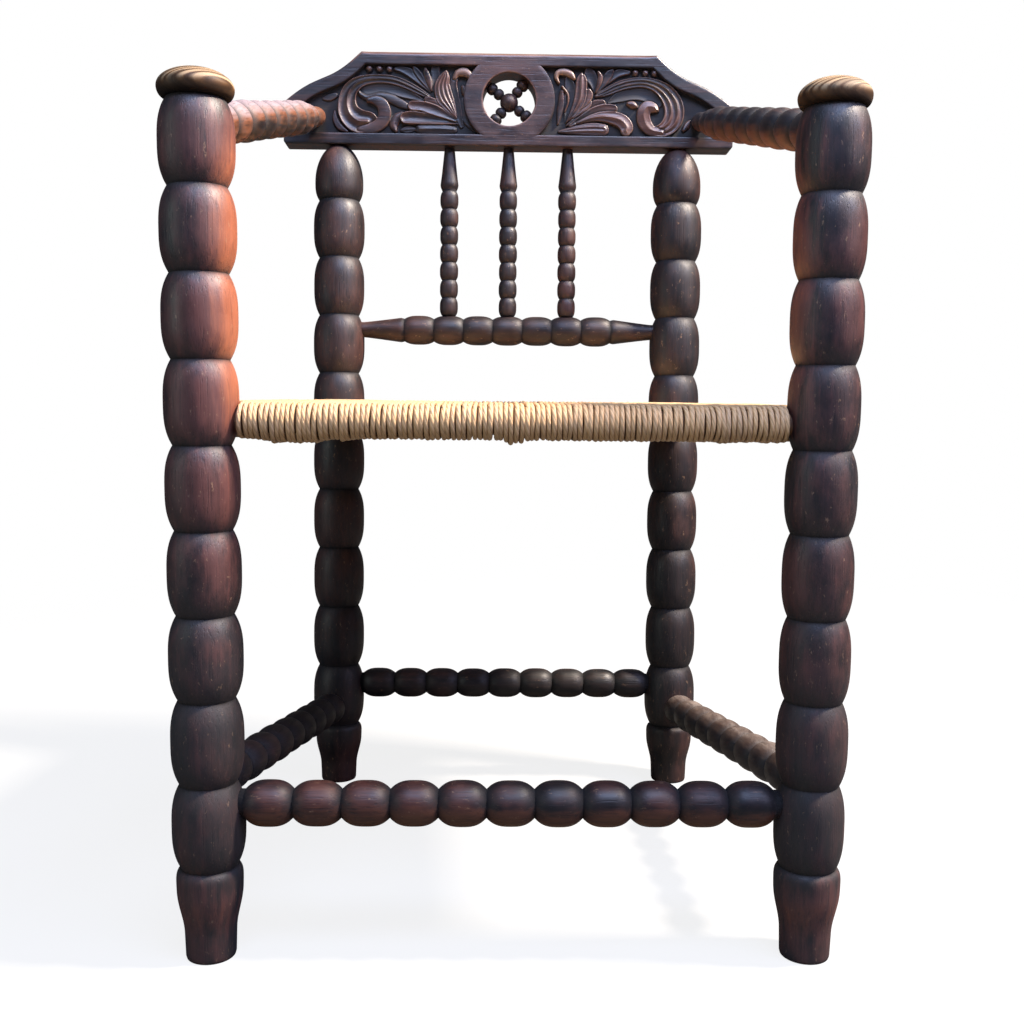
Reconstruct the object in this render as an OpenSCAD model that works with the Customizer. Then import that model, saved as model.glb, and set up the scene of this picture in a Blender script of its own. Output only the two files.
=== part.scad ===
// Bobbin-turned armchair with a pierced, carved crest rail and a rush seat.
// Millimetres. The chair faces -Y, +Z is up, and it stands on Z = 0 with its
// bounding box centred on the origin. Left is -X, the left seen from in front.

/* [Plan] */
// Distance between the axes of the two front posts
front_w = 485; // [430:5:540]
// Distance between the axes of the two back posts
back_w = 394; // [350:2:430]
// Distance from the front post axes to the back post axes, at the floor
seat_d = 428; // [380:4:480]
// Backward lean of the back posts, in degrees
rake = 3; // [0:0.5:6]

/* [Posts] */
// Largest radius of a post's beads
post_r = 29; // [27:0.5:31]
// Radius at the bottom of the grooves between a post's beads
post_neck_r = 22.5; // [20:0.5:25]
// Number of beads on each post
post_beads = 9; // [8:1:10]
// How much longer the lowest bead of a post is than its middle one, as a share
bead_growth = 0.034; // [0:0.002:0.06]
// Height of a front post, up to the bun that caps it
front_h = 674.5; // [650:0.5:700]
// Length of a back post, up to the crest rail
back_h = 743; // [720:1:770]
// Height of a front post's foot, up to its first groove
front_foot_h = 76; // [64:1:84]
// Height of a back post's foot, up to its first groove
back_foot_h = 67; // [58:1:76]
// Radius of a foot where it meets the floor
foot_tip_r = 20; // [16:0.5:22]
// How far a foot's ball stands out from its tapered leg
foot_bulge = 4.5; // [3:0.5:6]
// Height of the egg that ends a back post under the crest rail
egg_h = 63; // [52:1:74]
// Largest radius of that egg
egg_r = 27.5; // [26:0.5:30]
// Radius of the egg where it meets the crest rail
egg_tip_r = 8.5; // [8:0.5:12]

/* [Finials] */
// Largest radius of the bun that caps a front post
finial_r = 28.5; // [26:0.5:31]
// Radius of the bun where it sits on the post
finial_neck_r = 23; // [18:0.5:24]
// Height of the bun
finial_h = 23; // [19:1:30]
// Height of its widest place above the post
finial_belly_h = 8.5; // [7:0.5:12]
// Length of the tenon under the bun
finial_tenon_l = 18; // [12:1:22]
// Radius of the tenon under the bun
finial_tenon_r = 8; // [6:0.5:8.5]

/* [Crest rail] */
// Length of the crest rail along its lower edge
crest_w = 518; // [496:2:540]
// Length of its straight top edge
crest_top_w = 340; // [300:4:360]
// Thickness of the plank
crest_t = 30; // [27:1:34]
// Height of the plank
crest_h = 105; // [103:1:116]
// Height of its upright ends
crest_end_h = 46; // [40:1:52]
// Rounding of its lower corners
crest_corner_r = 3; // [2:0.5:6]
// S-shaped swing of the sloping shoulders, to each side
crest_swing = 3.4; // [0:0.1:4]
// Hollow of the sloping shoulders
crest_hollow = 1.2; // [0:0.1:4]
// Width of the flat border along the top and the shoulders
border_top = 14; // [11:0.5:16]
// Width of the flat border along the lower edge
border_low = 12; // [11.5:0.5:14]
// Width of the flat border at the ends
border_end = 12; // [8:0.5:15]
// Depth of the carved field below the borders
recess_d = 6.5; // [4:0.5:6.5]

/* [Spoked ring] */
// Radius of the hole through the ring
ring_hole_r = 31; // [29:0.5:33]
// Outer radius of the ring
ring_r = 52; // [46:0.5:52]
// Height of the ring's centre above the crest rail's lower edge
ring_h = 53; // [52.5:0.5:54]
// Radius of the ball at the middle of the spokes
hub_r = 10.5; // [9:0.5:11.5]
// Radius of the bead next to the ball
spoke_inner_r = 6.3; // [5:0.1:6.6]
// Radius of the bead next to the ring
spoke_outer_r = 7; // [5.5:0.1:8]
// Radius of the grooves between those beads
spoke_neck_r = 4; // [3.2:0.1:4.6]
// Radius of the spokes' tenons
spoke_tenon_r = 2.5; // [2:0.1:3]
// Length of each of the spokes' tenons
spoke_tenon_l = 4; // [2.5:0.5:4.5]
// Turn of the four spokes from level, in degrees
spoke_turn = 52; // [40:1:56]

/* [Back] */
// Height of the beaded middle rail, along the back posts
mid_h = 532; // [510:1:560]
// Radius of its beads
mid_bead_r = 16.8; // [15:0.1:18]
// Radius of the grooves between its beads
mid_neck_r = 13; // [11:0.5:14]
// Distance from groove to groove on it
mid_pitch = 34.4; // [30:0.2:36]
// Number of its beads
mid_beads = 7; // [7:2:7]
// Radius of its tapered ends where they meet the posts
mid_end_r = 8.8; // [7.5:0.1:10]
// Largest radius of its tapered ends, beside the first and last bead
mid_swell_r = 14.4; // [13:0.1:15.5]
// Beads from the middle of the rail to each side spindle
spindle_step = 2; // [1:1:2]
// Radius of a spindle's beads
spindle_bead_r = 10.5; // [9:0.1:12]
// Radius of the grooves between a spindle's beads
spindle_neck_r = 8; // [6.5:0.1:8.5]
// Number of beads on a spindle
spindle_beads = 7; // [6:1:9]
// Length of a spindle's plain tapered top
spindle_taper_l = 50; // [36:1:60]
// Radius of the tapered top where it meets the crest rail
spindle_top_r = 5.8; // [5:0.1:7]
// Radius of the tenon under a spindle
spindle_tenon_r = 5; // [4:0.1:6]

/* [Stretchers] */
// Height of the front stretcher
front_stretcher_h = 127; // [112:1:140]
// Radius of the front stretcher's beads
front_stretcher_r = 18.5; // [16:0.5:20]
// Number of beads on the front stretcher
front_stretcher_beads = 11; // [9:1:13]
// Height of the back stretcher
back_stretcher_h = 115; // [104:1:128]
// Radius of the back stretcher's beads
back_stretcher_r = 17; // [15:0.5:19]
// Number of beads on the back stretcher
back_stretcher_beads = 9; // [7:1:11]
// Height of the side stretchers at the front posts
side_stretcher_front_h = 143; // [120:1:160]
// Height of the side stretchers at the back posts
side_stretcher_back_h = 90; // [70:1:110]
// Radius of the side stretchers' beads
side_stretcher_r = 17.5; // [15:0.5:19]
// Number of beads on each side stretcher
side_stretcher_beads = 9; // [7:1:11]
// Radius of the grooves between a stretcher's beads, and of its tenons
stretcher_neck_r = 11.5; // [9:0.5:12.5]

/* [Arms] */
// Drop of an arm's axis below the top of the front post
arm_drop = 18; // [15:0.5:20]
// Height of an arm's axis above the crest rail's lower edge, at the rail
arm_rise = 32; // [29:0.5:33]
// Distance of an arm's axis from the crest rail's end
arm_inset = 39; // [34:1:44]
// Largest radius of an arm's beads
arm_r = 17.5; // [16:0.5:19]
// Radius of the grooves between an arm's beads
arm_neck_r = 14.5; // [13:0.5:15.5]
// Radius of an arm where it meets the crest rail
arm_end_r = 11; // [9.5:0.5:13]
// Number of beads on each arm
arm_beads = 10; // [8:1:12]
// Share of an arm's length after which it narrows
arm_full = 0.76; // [0.6:0.02:0.82]
// Share of an arm's length at which it has narrowed to its end
arm_small = 0.94; // [0.9:0.02:1]
// Radius of an arm's tenons
arm_tenon_r = 7; // [5.5:0.5:7]
// Length of an arm's tenon in the crest rail
arm_tenon_l = 12; // [8:1:15]

/* [Rush seat] */
// Height of the seat rails' axes
seat_rail_h = 434; // [420:1:450]
// Radius of a seat rail
seat_rail_r = 10; // [9.5:0.5:12]
// Radius of a seat rail's tenons
seat_tenon_r = 9; // [7.5:0.5:9]
// Thickness of the twisted rush cord
strand_d = 4.2; // [3.6:0.1:4.8]
// Distance from the front rail to the point where the four fields meet
seat_meet = 250; // [230:5:260]
// Rise of the rush above its wrap round the rail
seat_crown = 1; // [0:0.5:3]
// Share of a field's depth at which it is highest
crown_at = 0.18; // [0.1:0.02:0.3]
// Fall of the top from its highest place to the middle of the seat
seat_sag = 8; // [4:0.5:9]
// Rise of the underside from the rails to the middle of the seat
seat_lift = 8.5; // [5:0.5:9]
// Distance of the stuffing from the mitres between the fields
stuffing_margin = 11; // [9:1:16]
// Share of a field's depth at which its stuffing ends
stuffing_end = 0.84; // [0.7:0.02:0.86]

/* [Joints] */
// Distance from a post's axis at which the tenons in it stop
tenon_stop = 13.5; // [13:0.5:16]
// Length of the tenons that enter the crest rail's lower edge
crest_tenon_l = 11; // [8:0.5:11]
// Radius of the back posts' tenons
egg_tenon_r = 7; // [6:0.5:7.5]
// Radial clearance of a tenon in its mortise
tenon_clear = 0.1; // [0.05:0.05:0.2]
// Space left at the bottom of a mortise
tenon_gap = 0.5; // [0.3:0.1:1]
// Space between a shoulder and the face that it meets
seat_gap = 0.3; // [0.2:0.05:0.5]

/* [Hidden] */
$fn = 48;

// Colours of the stained oak, the worn finials, the rush and the stuffing
oak = "#4A2E26";
worn_oak = "#A0603A";
carved_oak = "#2E2426";
honey_oak = "#B98A50";
rush = "#C49A66";
loose_rush = "#8A7446";

// Steps along one bead, and along a longer curve
bead_steps = 10;
curve_steps = 14;
// Squareness of a bead's barrel shape, where 2 is a parabola
barrel = 3;
// Share of a foot's height at which its ball begins, and share of the ball's
// own height that it takes to swell
ball_at = 0.28;
ball_swell = 0.65;
// Sharpness of the ball's turn into the groove above it
ball_edge = 18;
// Share of the egg's height at which it is widest, and the powers of its fall
egg_belly = 0.33;
egg_fall = 2.1;
egg_round = 0.7;
// Steps round a lower corner of the crest rail
corner_steps = 4;
// Share of its length after which a tapered end of the middle rail narrows
// again, and the same for a spindle's tapered top, from below
mid_swell_at = 0.94;
spindle_swell_at = 0.14;
// Reach of a cutter beyond the face that it cuts
over = 1;

// Distances from groove to groove on the posts
front_pitch = (front_h - front_foot_h) / post_beads;
back_pitch = (back_h - egg_h - back_foot_h) / post_beads;
egg_foot = back_h - egg_h;
crest_top = back_h + crest_h;
// Distance of an arm's axis from the chair's middle, at the crest rail
arm_crest_x = crest_w / 2 - arm_inset;
wrap_r = seat_rail_r + strand_d + seat_gap;

function barrel_r(t, bead_r, neck_r) = neck_r + (bead_r - neck_r) * (1 - pow(abs(2 * t - 1), barrel));
function eased(t) = (1 - cos(180 * min(1, max(0, t)))) / 2;
// A step number turned into a share that gathers the points near both ends
function gathered(k, steps) = (1 - cos(180 * k / steps)) / 2;

// Place of groove i in a row of beads, in beads of the middle one's length
function groove_at(i, count, growth) = i + growth * i * (count - i) / max(1, count - 1);

// Points [radius, length] of a row of beads from one groove to the last. The first
// bead is longer than the middle one by the share growth, the last one shorter.
function bead_row(count, pitch, start, bead_r, neck_r, growth = 0) = [
    for (i = [0:count - 1], k = [0:bead_steps - 1])
        let (
            t = gathered(k, bead_steps),
            low = groove_at(i, count, growth),
            high = groove_at(i + 1, count, growth)
        )
        [barrel_r(t, bead_r, neck_r), start + (low + (high - low) * t) * pitch],
    [neck_r, start + count * pitch]
];

// Points of a foot: a straight taper with a ball above it, up to the groove
function foot_r(z, height) =
    let (
        taper = foot_tip_r + (post_neck_r - foot_tip_r) * z / height,
        t = (z / height - ball_at) / (1 - ball_at),
        ball = taper + foot_bulge * eased(t / ball_swell)
    )
    post_neck_r + (ball - post_neck_r) * (1 - pow(max(0, t), ball_edge));
function foot_points(height) = [
    for (k = [0:curve_steps - 1])
        let (z = height * (ball_at + (1 - ball_at) * k / curve_steps))
        [foot_r(z, height), z]
];

// Points of the egg from its groove to the crest rail
function egg_radius(t) = t < egg_belly
    ? post_neck_r + (egg_r - post_neck_r) * (1 - pow(1 - t / egg_belly, barrel))
    : egg_tip_r + (egg_r - egg_tip_r) * pow(1 - pow((t - egg_belly) / (1 - egg_belly), egg_fall), egg_round);
egg_points = [
    for (k = [1:curve_steps])
        let (t = gathered(k, curve_steps))
        [egg_radius(t), egg_foot + t * (egg_h - seat_gap)]
];

front_profile = concat(
    [[0, 0], [foot_tip_r, 0]],
    foot_points(front_foot_h),
    bead_row(post_beads, front_pitch, front_foot_h, post_r, post_neck_r, bead_growth),
    [[0, front_h]]
);
// A back post starts below the floor, where its lean is then trimmed flat
back_start = -foot_tip_r * sin(rake) - over;
back_profile = concat(
    [[0, back_start], [foot_tip_r, back_start]],
    foot_points(back_foot_h),
    bead_row(post_beads, back_pitch, back_foot_h, post_r, post_neck_r, bead_growth),
    egg_points,
    [[0, back_h - seat_gap]]
);

// Reach of the chair before the front axes and behind the back ones
front_reach = max(finial_r, post_r);
back_reach = max(
    max([for (p = back_profile) p[0] * cos(rake) + p[1] * sin(rake)]),
    crest_top * sin(rake) + crest_t / 2 * cos(rake)
);
front_y = (front_reach - seat_d - back_reach) / 2;
back_y = front_y + seat_d;

// A point given by its height along the back posts and its depth behind them
function back_point(x, h, deep = 0) =
    [x, back_y + h * sin(rake) + deep * cos(rake), h * cos(rake) - deep * sin(rake)];
function front_axis(side, z) = [side * front_w / 2, front_y, z];
function back_axis(side, z) = back_point(side * back_w / 2, z / cos(rake));

// The axes of the cross pieces, from post to post
function stretcher_side_line(side) =
    [front_axis(side, side_stretcher_front_h), back_axis(side, side_stretcher_back_h)];
stretcher_front_line = [front_axis(-1, front_stretcher_h), front_axis(1, front_stretcher_h)];
stretcher_back_line = [back_axis(-1, back_stretcher_h), back_axis(1, back_stretcher_h)];
mid_line = [back_point(-back_w / 2, mid_h), back_point(back_w / 2, mid_h)];
recess_floor = recess_d - crest_t / 2;
function arm_line(side) = [
    front_axis(side, front_h - arm_drop),
    back_point(side * arm_crest_x, back_h + arm_rise, recess_floor)
];
// The seat's corners in the order front left, front right, back right, back left
corners = [
    front_axis(-1, seat_rail_h), front_axis(1, seat_rail_h),
    back_axis(1, seat_rail_h), back_axis(-1, seat_rail_h)
];
function seat_line(k) = [corners[k], corners[(k + 1) % 4]];
seat_middle = [0, front_y + seat_meet, seat_rail_h];

// Distance from a post's axis at which the cross pieces' shoulders stop
shoulder = post_r + seat_gap;
// Depth of a spindle's tenon in the middle rail
spindle_socket = mid_bead_r / 2;

module back_frame() translate([0, back_y, 0]) rotate([-rake, 0, 0]) children();

// Stands the Z axis of its children on the line from a to b
module along(line) {
    d = line[1] - line[0];
    translate(line[0]) rotate([0, acos(d.z / norm(d)), atan2(d.y, d.x)]) children();
}

function span(line) = norm(line[1] - line[0]);

function flipped(line) = [line[1], line[0]];

// Directions of the posts' axes
front_dir = [0, 0, 1];
back_dir = [0, sin(rake), cos(rake)];

// Distance from a post's axis at which a cross piece of radius r is clear of the
// post, when it meets the post at a slant
function clear_of(line, post_dir, r) =
    let (c = abs((line[1] - line[0]) * post_dir) / span(line))
    (shoulder + r * c) / sqrt(1 - c * c);

// A bore for the tenon of a cross piece, in the post at the line's start
module mortise(line, tenon_r, post_dir)
    along(line) translate([0, 0, tenon_stop - tenon_gap])
        cylinder(r = tenon_r + tenon_clear,
            h = clear_of(line, post_dir, tenon_r) + over - tenon_stop + tenon_gap);

module front_post(side) {
    color(oak) difference() {
        translate([side * front_w / 2, front_y, 0]) rotate_extrude() polygon(front_profile);
        mortise(side < 0 ? stretcher_front_line : flipped(stretcher_front_line), stretcher_neck_r, front_dir);
        mortise(stretcher_side_line(side), stretcher_neck_r, front_dir);
        mortise(side < 0 ? seat_line(0) : seat_line(1), seat_tenon_r, front_dir);
        mortise(flipped(side < 0 ? seat_line(3) : seat_line(0)), seat_tenon_r, front_dir);
        mortise(arm_line(side), arm_tenon_r, front_dir);
        translate([side * front_w / 2, front_y, front_h - finial_tenon_l - tenon_gap])
            cylinder(r = finial_tenon_r + tenon_clear, h = finial_tenon_l + tenon_gap + over);
    }
}

module finial(side) {
    lower = [for (k = [0:curve_steps])
        let (t = k / curve_steps)
        [finial_neck_r + (finial_r - finial_neck_r) * sin(90 * t),
            seat_gap + (finial_belly_h - seat_gap) * (1 - cos(90 * t))]];
    upper = [for (k = [1:curve_steps])
        let (a = 90 * k / curve_steps)
        [finial_r * cos(a), finial_belly_h + (finial_h - finial_belly_h) * sin(a)]];
    stem = [[0, -finial_tenon_l], [finial_tenon_r, -finial_tenon_l], [finial_tenon_r, seat_gap]];
    color(honey_oak) translate([side * front_w / 2, front_y, front_h])
        rotate_extrude() polygon(concat(stem, lower, upper));
}

module back_post(side) {
    color(oak) difference() {
        union() {
            back_frame() translate([side * back_w / 2, 0, 0]) rotate_extrude() polygon(back_profile);
            back_frame() translate([side * back_w / 2, 0, back_h - seat_gap - over])
                cylinder(r = egg_tenon_r, h = crest_tenon_l + seat_gap + over);
        }
        translate([side * back_w / 2 - 2 * post_r, back_y - 2 * post_r, -2 * post_r])
            cube([4 * post_r, 4 * post_r, 2 * post_r]);
        mortise(side < 0 ? stretcher_back_line : flipped(stretcher_back_line), stretcher_neck_r, back_dir);
        mortise(side < 0 ? mid_line : flipped(mid_line), mid_end_r, back_dir);
        mortise(side < 0 ? seat_line(3) : seat_line(2), seat_tenon_r, back_dir);
        mortise(flipped(side < 0 ? seat_line(2) : seat_line(1)), seat_tenon_r, back_dir);
        mortise(flipped(stretcher_side_line(side)), stretcher_neck_r, back_dir);
    }
}

// The sloping shoulder of the crest rail between two points, as an S
function shoulder_points(from, to) = [
    for (k = [0:curve_steps])
        let (t = k / curve_steps)
        from + (to - from) * t + [0, crest_swing * sin(360 * t) - crest_hollow * sin(180 * t)]
];
function mirrored(points) = [for (k = [len(points) - 1:-1:0]) [-points[k].x, points[k].y]];

crest_slope = (crest_h - crest_end_h) / (crest_w - crest_top_w) * 2;
shoulder_inset = border_top * sqrt(1 + crest_slope * crest_slope);
half_outline = concat(
    [for (k = [0:corner_steps]) let (a = 90 * (k / corner_steps - 1))
        [crest_w / 2 - crest_corner_r * (1 - cos(a)), crest_corner_r * (1 + sin(a))]],
    shoulder_points([crest_w / 2, crest_end_h], [crest_top_w / 2, crest_h])
);
field_end_x = crest_w / 2 - border_end;
field_top = crest_h - border_top;
half_field = concat(
    [[field_end_x, border_low]],
    shoulder_points(
        [field_end_x, crest_end_h + crest_slope * border_end - shoulder_inset],
        [crest_w / 2 - (field_top - crest_end_h + shoulder_inset) / crest_slope, field_top]
    )
);

// Sets a drawing of the crest rail upright, from its depth behind the axes forward
module crest_slab(deep, thick)
    translate([0, deep, 0]) rotate([90, 0, 0]) linear_extrude(thick) children();

module crest_rail() {
    color(carved_oak) difference() {
        back_frame() translate([0, 0, back_h]) difference() {
            crest_slab(crest_t / 2, crest_t) polygon(concat(half_outline, mirrored(half_outline)));
            crest_slab(recess_floor, recess_d + over) difference() {
                polygon(concat(half_field, mirrored(half_field)));
                translate([0, ring_h]) circle(ring_r);
            }
            crest_slab(crest_t / 2 + over, crest_t + 2 * over) translate([0, ring_h]) circle(ring_hole_r);
            for (side = [-1, 1]) translate([side * back_w / 2, 0, -over])
                cylinder(r = egg_tenon_r + tenon_clear, h = crest_tenon_l + tenon_gap + over);
            for (side = [-1:1]) translate([side * spindle_step * mid_pitch, 0, -over])
                cylinder(r = spindle_top_r + tenon_clear, h = crest_tenon_l + tenon_gap + over);
            for (k = [0:3]) spoke_frame(k) translate([0, 0, ring_hole_r - over])
                cylinder(r = spoke_tenon_r + tenon_clear, h = spoke_tenon_l + tenon_gap + over);
        }
        for (side = [-1, 1]) along(arm_line(side)) translate([0, 0, span(arm_line(side)) - arm_end_r])
            cylinder(r = arm_tenon_r + tenon_clear, h = arm_tenon_l + tenon_gap + arm_end_r);
    }
}

// Stands the Z axis of its children on spoke k, counted from the upper right
module spoke_frame(k) translate([0, 0, ring_h]) rotate([0, 90 - spoke_turn - 90 * k, 0]) children();

module spoke_hub() {
    color(oak) back_frame() translate([0, 0, back_h]) difference() {
        translate([0, 0, ring_h]) rotate([90, 0, 0]) sphere(hub_r);
        for (k = [0:3]) spoke_frame(k) translate([0, 0, hub_r - spoke_tenon_l - tenon_gap])
            cylinder(r = spoke_tenon_r + tenon_clear, h = spoke_tenon_l + tenon_gap + over);
    }
}

module spoke(k) {
    start = hub_r + seat_gap / 2;
    end = sqrt(pow(ring_hole_r, 2) - pow(spoke_neck_r, 2)) - seat_gap / 2;
    groove = start + (end - start) * spoke_inner_r / (spoke_inner_r + spoke_outer_r);
    inner = bead_row(1, groove - start, start, spoke_inner_r, spoke_neck_r);
    outer = bead_row(1, end - groove, groove, spoke_outer_r, spoke_neck_r);
    stub = [[0, hub_r - spoke_tenon_l], [spoke_tenon_r, hub_r - spoke_tenon_l], [spoke_tenon_r, start]];
    tip_end = ring_hole_r + spoke_tenon_l;
    tip = [[spoke_tenon_r, end], [spoke_tenon_r, tip_end], [0, tip_end]];
    color(oak) back_frame() translate([0, 0, back_h]) spoke_frame(k)
        rotate_extrude() polygon(concat(stub, inner, [for (i = [1:len(outer) - 1]) outer[i]], tip));
}

module back_mid_rail() {
    length = span(mid_line);
    row_start = (length - mid_beads * mid_pitch) / 2;
    taper = row_start - shoulder;
    row = bead_row(mid_beads, mid_pitch, row_start, mid_bead_r, mid_neck_r);
    near = [[0, tenon_stop], [mid_end_r, tenon_stop], [mid_end_r, shoulder],
        [mid_swell_r, shoulder + taper * mid_swell_at]];
    far = [for (k = [len(near) - 1:-1:0]) [near[k][0], length - near[k][1]]];
    color(oak) difference() {
        along(mid_line) rotate_extrude() polygon(concat(near, row, far));
        back_frame() for (side = [-1:1])
            translate([side * spindle_step * mid_pitch, 0, mid_h + mid_bead_r - spindle_socket - tenon_gap])
                cylinder(r = spindle_tenon_r + tenon_clear, h = spindle_socket + tenon_gap + over);
    }
}
module spindle(side) {
    start = mid_h + mid_bead_r + seat_gap;
    taper_at = back_h - spindle_taper_l;
    pitch = (taper_at - start) / spindle_beads;
    row = bead_row(spindle_beads, pitch, start, spindle_bead_r, spindle_neck_r);
    foot = [[0, start - seat_gap - spindle_socket], [spindle_tenon_r, start - seat_gap - spindle_socket],
        [spindle_tenon_r, start]];
    top = [[spindle_bead_r, taper_at + spindle_swell_at * spindle_taper_l], [spindle_top_r, back_h],
        [spindle_top_r, back_h + crest_tenon_l], [0, back_h + crest_tenon_l]];
    color(oak) back_frame() translate([side * spindle_step * mid_pitch, 0, 0])
        rotate_extrude() polygon(concat(foot, row, top));
}

// A stretcher: a row of beads between two posts, with its grooves' radius as tenons
module stretcher(line, start_dir, end_dir, count, bead_r) {
    length = span(line);
    start = clear_of(line, start_dir, stretcher_neck_r);
    end = length - clear_of(line, end_dir, stretcher_neck_r);
    row = bead_row(count, (end - start) / count, start, bead_r, stretcher_neck_r);
    ends = [[0, tenon_stop], [stretcher_neck_r, tenon_stop]];
    color(oak) along(line) rotate_extrude() polygon(concat(
        ends, row, [[stretcher_neck_r, length - tenon_stop], [0, length - tenon_stop]]
    ));
}

// Narrowing of an arm towards the crest rail, at a share of its length
function arm_scale(t) =
    1 - (1 - arm_end_r / arm_r) * eased((t - arm_full) / (arm_small - arm_full));

module arm(side) {
    line = arm_line(side);
    length = span(line);
    cope_r = max(post_r, finial_r) + seat_gap;
    start = sqrt(pow(cope_r, 2) - pow(arm_r, 2)) - 2 * over;
    pitch = (length - cope_r) / arm_beads;
    row = [for (p = bead_row(arm_beads, pitch, cope_r, arm_r, arm_neck_r))
        [p[0] * arm_scale((p[1] - cope_r) / (length - cope_r)), p[1]]];
    color(worn_oak) {
        difference() {
            along(line) rotate_extrude() polygon(concat(
                [[0, start], [arm_neck_r, start]], row,
                [[arm_end_r, length + arm_end_r], [0, length + arm_end_r]]
            ));
            translate([side * front_w / 2, front_y, 0]) cylinder(r = cope_r, h = 2 * front_h);
            back_frame() translate([0, recess_floor - seat_gap, back_h])
                translate([-crest_w, 0, -crest_h]) cube([2 * crest_w, crest_t, 3 * crest_h]);
        }
        along(line) translate([0, 0, tenon_stop]) cylinder(r = arm_tenon_r, h = cope_r + over - tenon_stop);
        along(line) translate([0, 0, length - arm_end_r])
            cylinder(r = arm_tenon_r, h = arm_end_r + arm_tenon_l);
    }
}

module seat_rail(k) {
    line = seat_line(k);
    length = span(line);
    start = clear_of(line, k < 2 ? front_dir : back_dir, seat_rail_r);
    end = length - clear_of(line, k == 0 || k == 3 ? front_dir : back_dir, seat_rail_r);
    color(oak) along(line) rotate_extrude() polygon([
        [0, tenon_stop], [seat_tenon_r, tenon_stop], [seat_tenon_r, start], [seat_rail_r, start],
        [seat_rail_r, end], [seat_tenon_r, end], [seat_tenon_r, length - tenon_stop], [0, length - tenon_stop]
    ]);
}

// Heights of the rush over and under the rails' axes, at a share of a field's depth
function rush_top(f) = wrap_r + seat_crown * sin(90 * min(1, f / crown_at))
    - seat_sag * eased((f - crown_at) / (1 - crown_at));
function rush_under(f) = -wrap_r + seat_lift * eased(f);

// Section of a field from the outside of its rail to the seat's middle
function rush_section(depth) = concat(
    [for (k = [0:curve_steps]) let (a = 270 - 180 * k / curve_steps) [wrap_r * cos(a), wrap_r * sin(a)]],
    [for (k = [1:curve_steps]) let (f = k / curve_steps) [f * depth, rush_top(f)]],
    [for (k = [curve_steps:-1:1]) let (f = k / curve_steps) [f * depth, rush_under(f)]]
);
// Section of the stuffing between the two layers of cord, shrunk all round
function stuffing_section(depth, shrink) =
    let (
        from = (wrap_r + shrink) / depth,
        to = stuffing_end - shrink / depth,
        shares = [for (k = [0:curve_steps]) from + (to - from) * k / curve_steps]
    )
    concat(
        [for (f = shares) [f * depth, rush_top(f) - strand_d - shrink]],
        [for (k = [curve_steps:-1:0]) [shares[k] * depth, rush_under(shares[k]) + strand_d + shrink]]
    );

// Sets its children on rail k, with X along the rail and Y towards the middle
module rail_frame(k) {
    d = seat_line(k)[1] - seat_line(k)[0];
    translate(seat_line(k)[0]) rotate([0, 0, atan2(d.y, d.x)]) children();
}
// The seat's middle in that frame
function field_apex(k) =
    let (
        d = (seat_line(k)[1] - seat_line(k)[0]) / span(seat_line(k)),
        m = seat_middle - seat_line(k)[0]
    )
    [m.x * d.x + m.y * d.y, m.y * d.x - m.x * d.y];

// The upright wedge of field k, moved back from its mitres
module wedge(k, back) {
    apex = field_apex(k);
    length = span(seat_line(k));
    reach = 2 * wrap_r / apex.y;
    translate([0, -back, -3 * wrap_r]) linear_extrude(6 * wrap_r) polygon([
        apex, -apex * reach, [length, 0] + ([length, 0] - apex) * reach
    ]);
}

module field_body(k, section, back) {
    length = span(seat_line(k));
    intersection() {
        translate([-2 * wrap_r, 0, 0]) rotate([90, 0, 90])
            linear_extrude(length + 4 * wrap_r) polygon(section);
        wedge(k, back);
    }
}

// Room round the four posts
module post_room(r)
    for (side = [-1, 1]) {
        translate([side * front_w / 2, front_y, 0]) cylinder(r = r, h = front_h);
        back_frame() translate([side * back_w / 2, 0, 0]) cylinder(r = r, h = back_h);
    }

// The stuffing of field k, or with no shrinking the pocket that holds it
module stuffing_body(k, shrink)
    difference() {
        rail_frame(k)
            field_body(k, stuffing_section(field_apex(k).y, shrink), stuffing_margin + shrink * sqrt(2));
        post_room(shoulder + strand_d + shrink);
    }

module rush_field(k) {
    length = span(seat_line(k));
    color(rush) difference() {
        rail_frame(k) difference() {
            field_body(k, rush_section(field_apex(k).y), seat_gap / sqrt(2));
            translate([-2 * wrap_r, 0, 0]) rotate([0, 90, 0])
                cylinder(r = seat_rail_r + tenon_clear, h = length + 4 * wrap_r);
        }
        stuffing_body(k, 0);
        post_room(shoulder);
    }
}

module stuffing(k) color(loose_rush) stuffing_body(k, seat_gap);

front_post(-1);  // front_post_left
front_post(1);  // front_post_right
finial(-1);  // finial_left
finial(1);  // finial_right
back_post(-1);  // back_post_left
back_post(1);  // back_post_right
crest_rail();
spoke_hub();
spoke(0);  // spoke_upper_right
spoke(1);  // spoke_upper_left
spoke(2);  // spoke_lower_left
spoke(3);  // spoke_lower_right
back_mid_rail();
spindle(-1);  // spindle_left
spindle(0);  // spindle_centre
spindle(1);  // spindle_right
arm(-1);  // arm_left
arm(1);  // arm_right
seat_rail(0);  // seat_rail_front
seat_rail(1);  // seat_rail_right
seat_rail(2);  // seat_rail_back
seat_rail(3);  // seat_rail_left
stretcher(stretcher_front_line, front_dir, front_dir, front_stretcher_beads, front_stretcher_r);  // stretcher_front
stretcher(stretcher_back_line, back_dir, back_dir, back_stretcher_beads, back_stretcher_r);  // stretcher_back
stretcher(stretcher_side_line(-1), front_dir, back_dir, side_stretcher_beads, side_stretcher_r);  // stretcher_left
stretcher(stretcher_side_line(1), front_dir, back_dir, side_stretcher_beads, side_stretcher_r);  // stretcher_right
rush_field(0);  // rush_front
rush_field(1);  // rush_right
rush_field(2);  // rush_back
rush_field(3);  // rush_left
stuffing(0);  // stuffing_front
stuffing(1);  // stuffing_right
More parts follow.
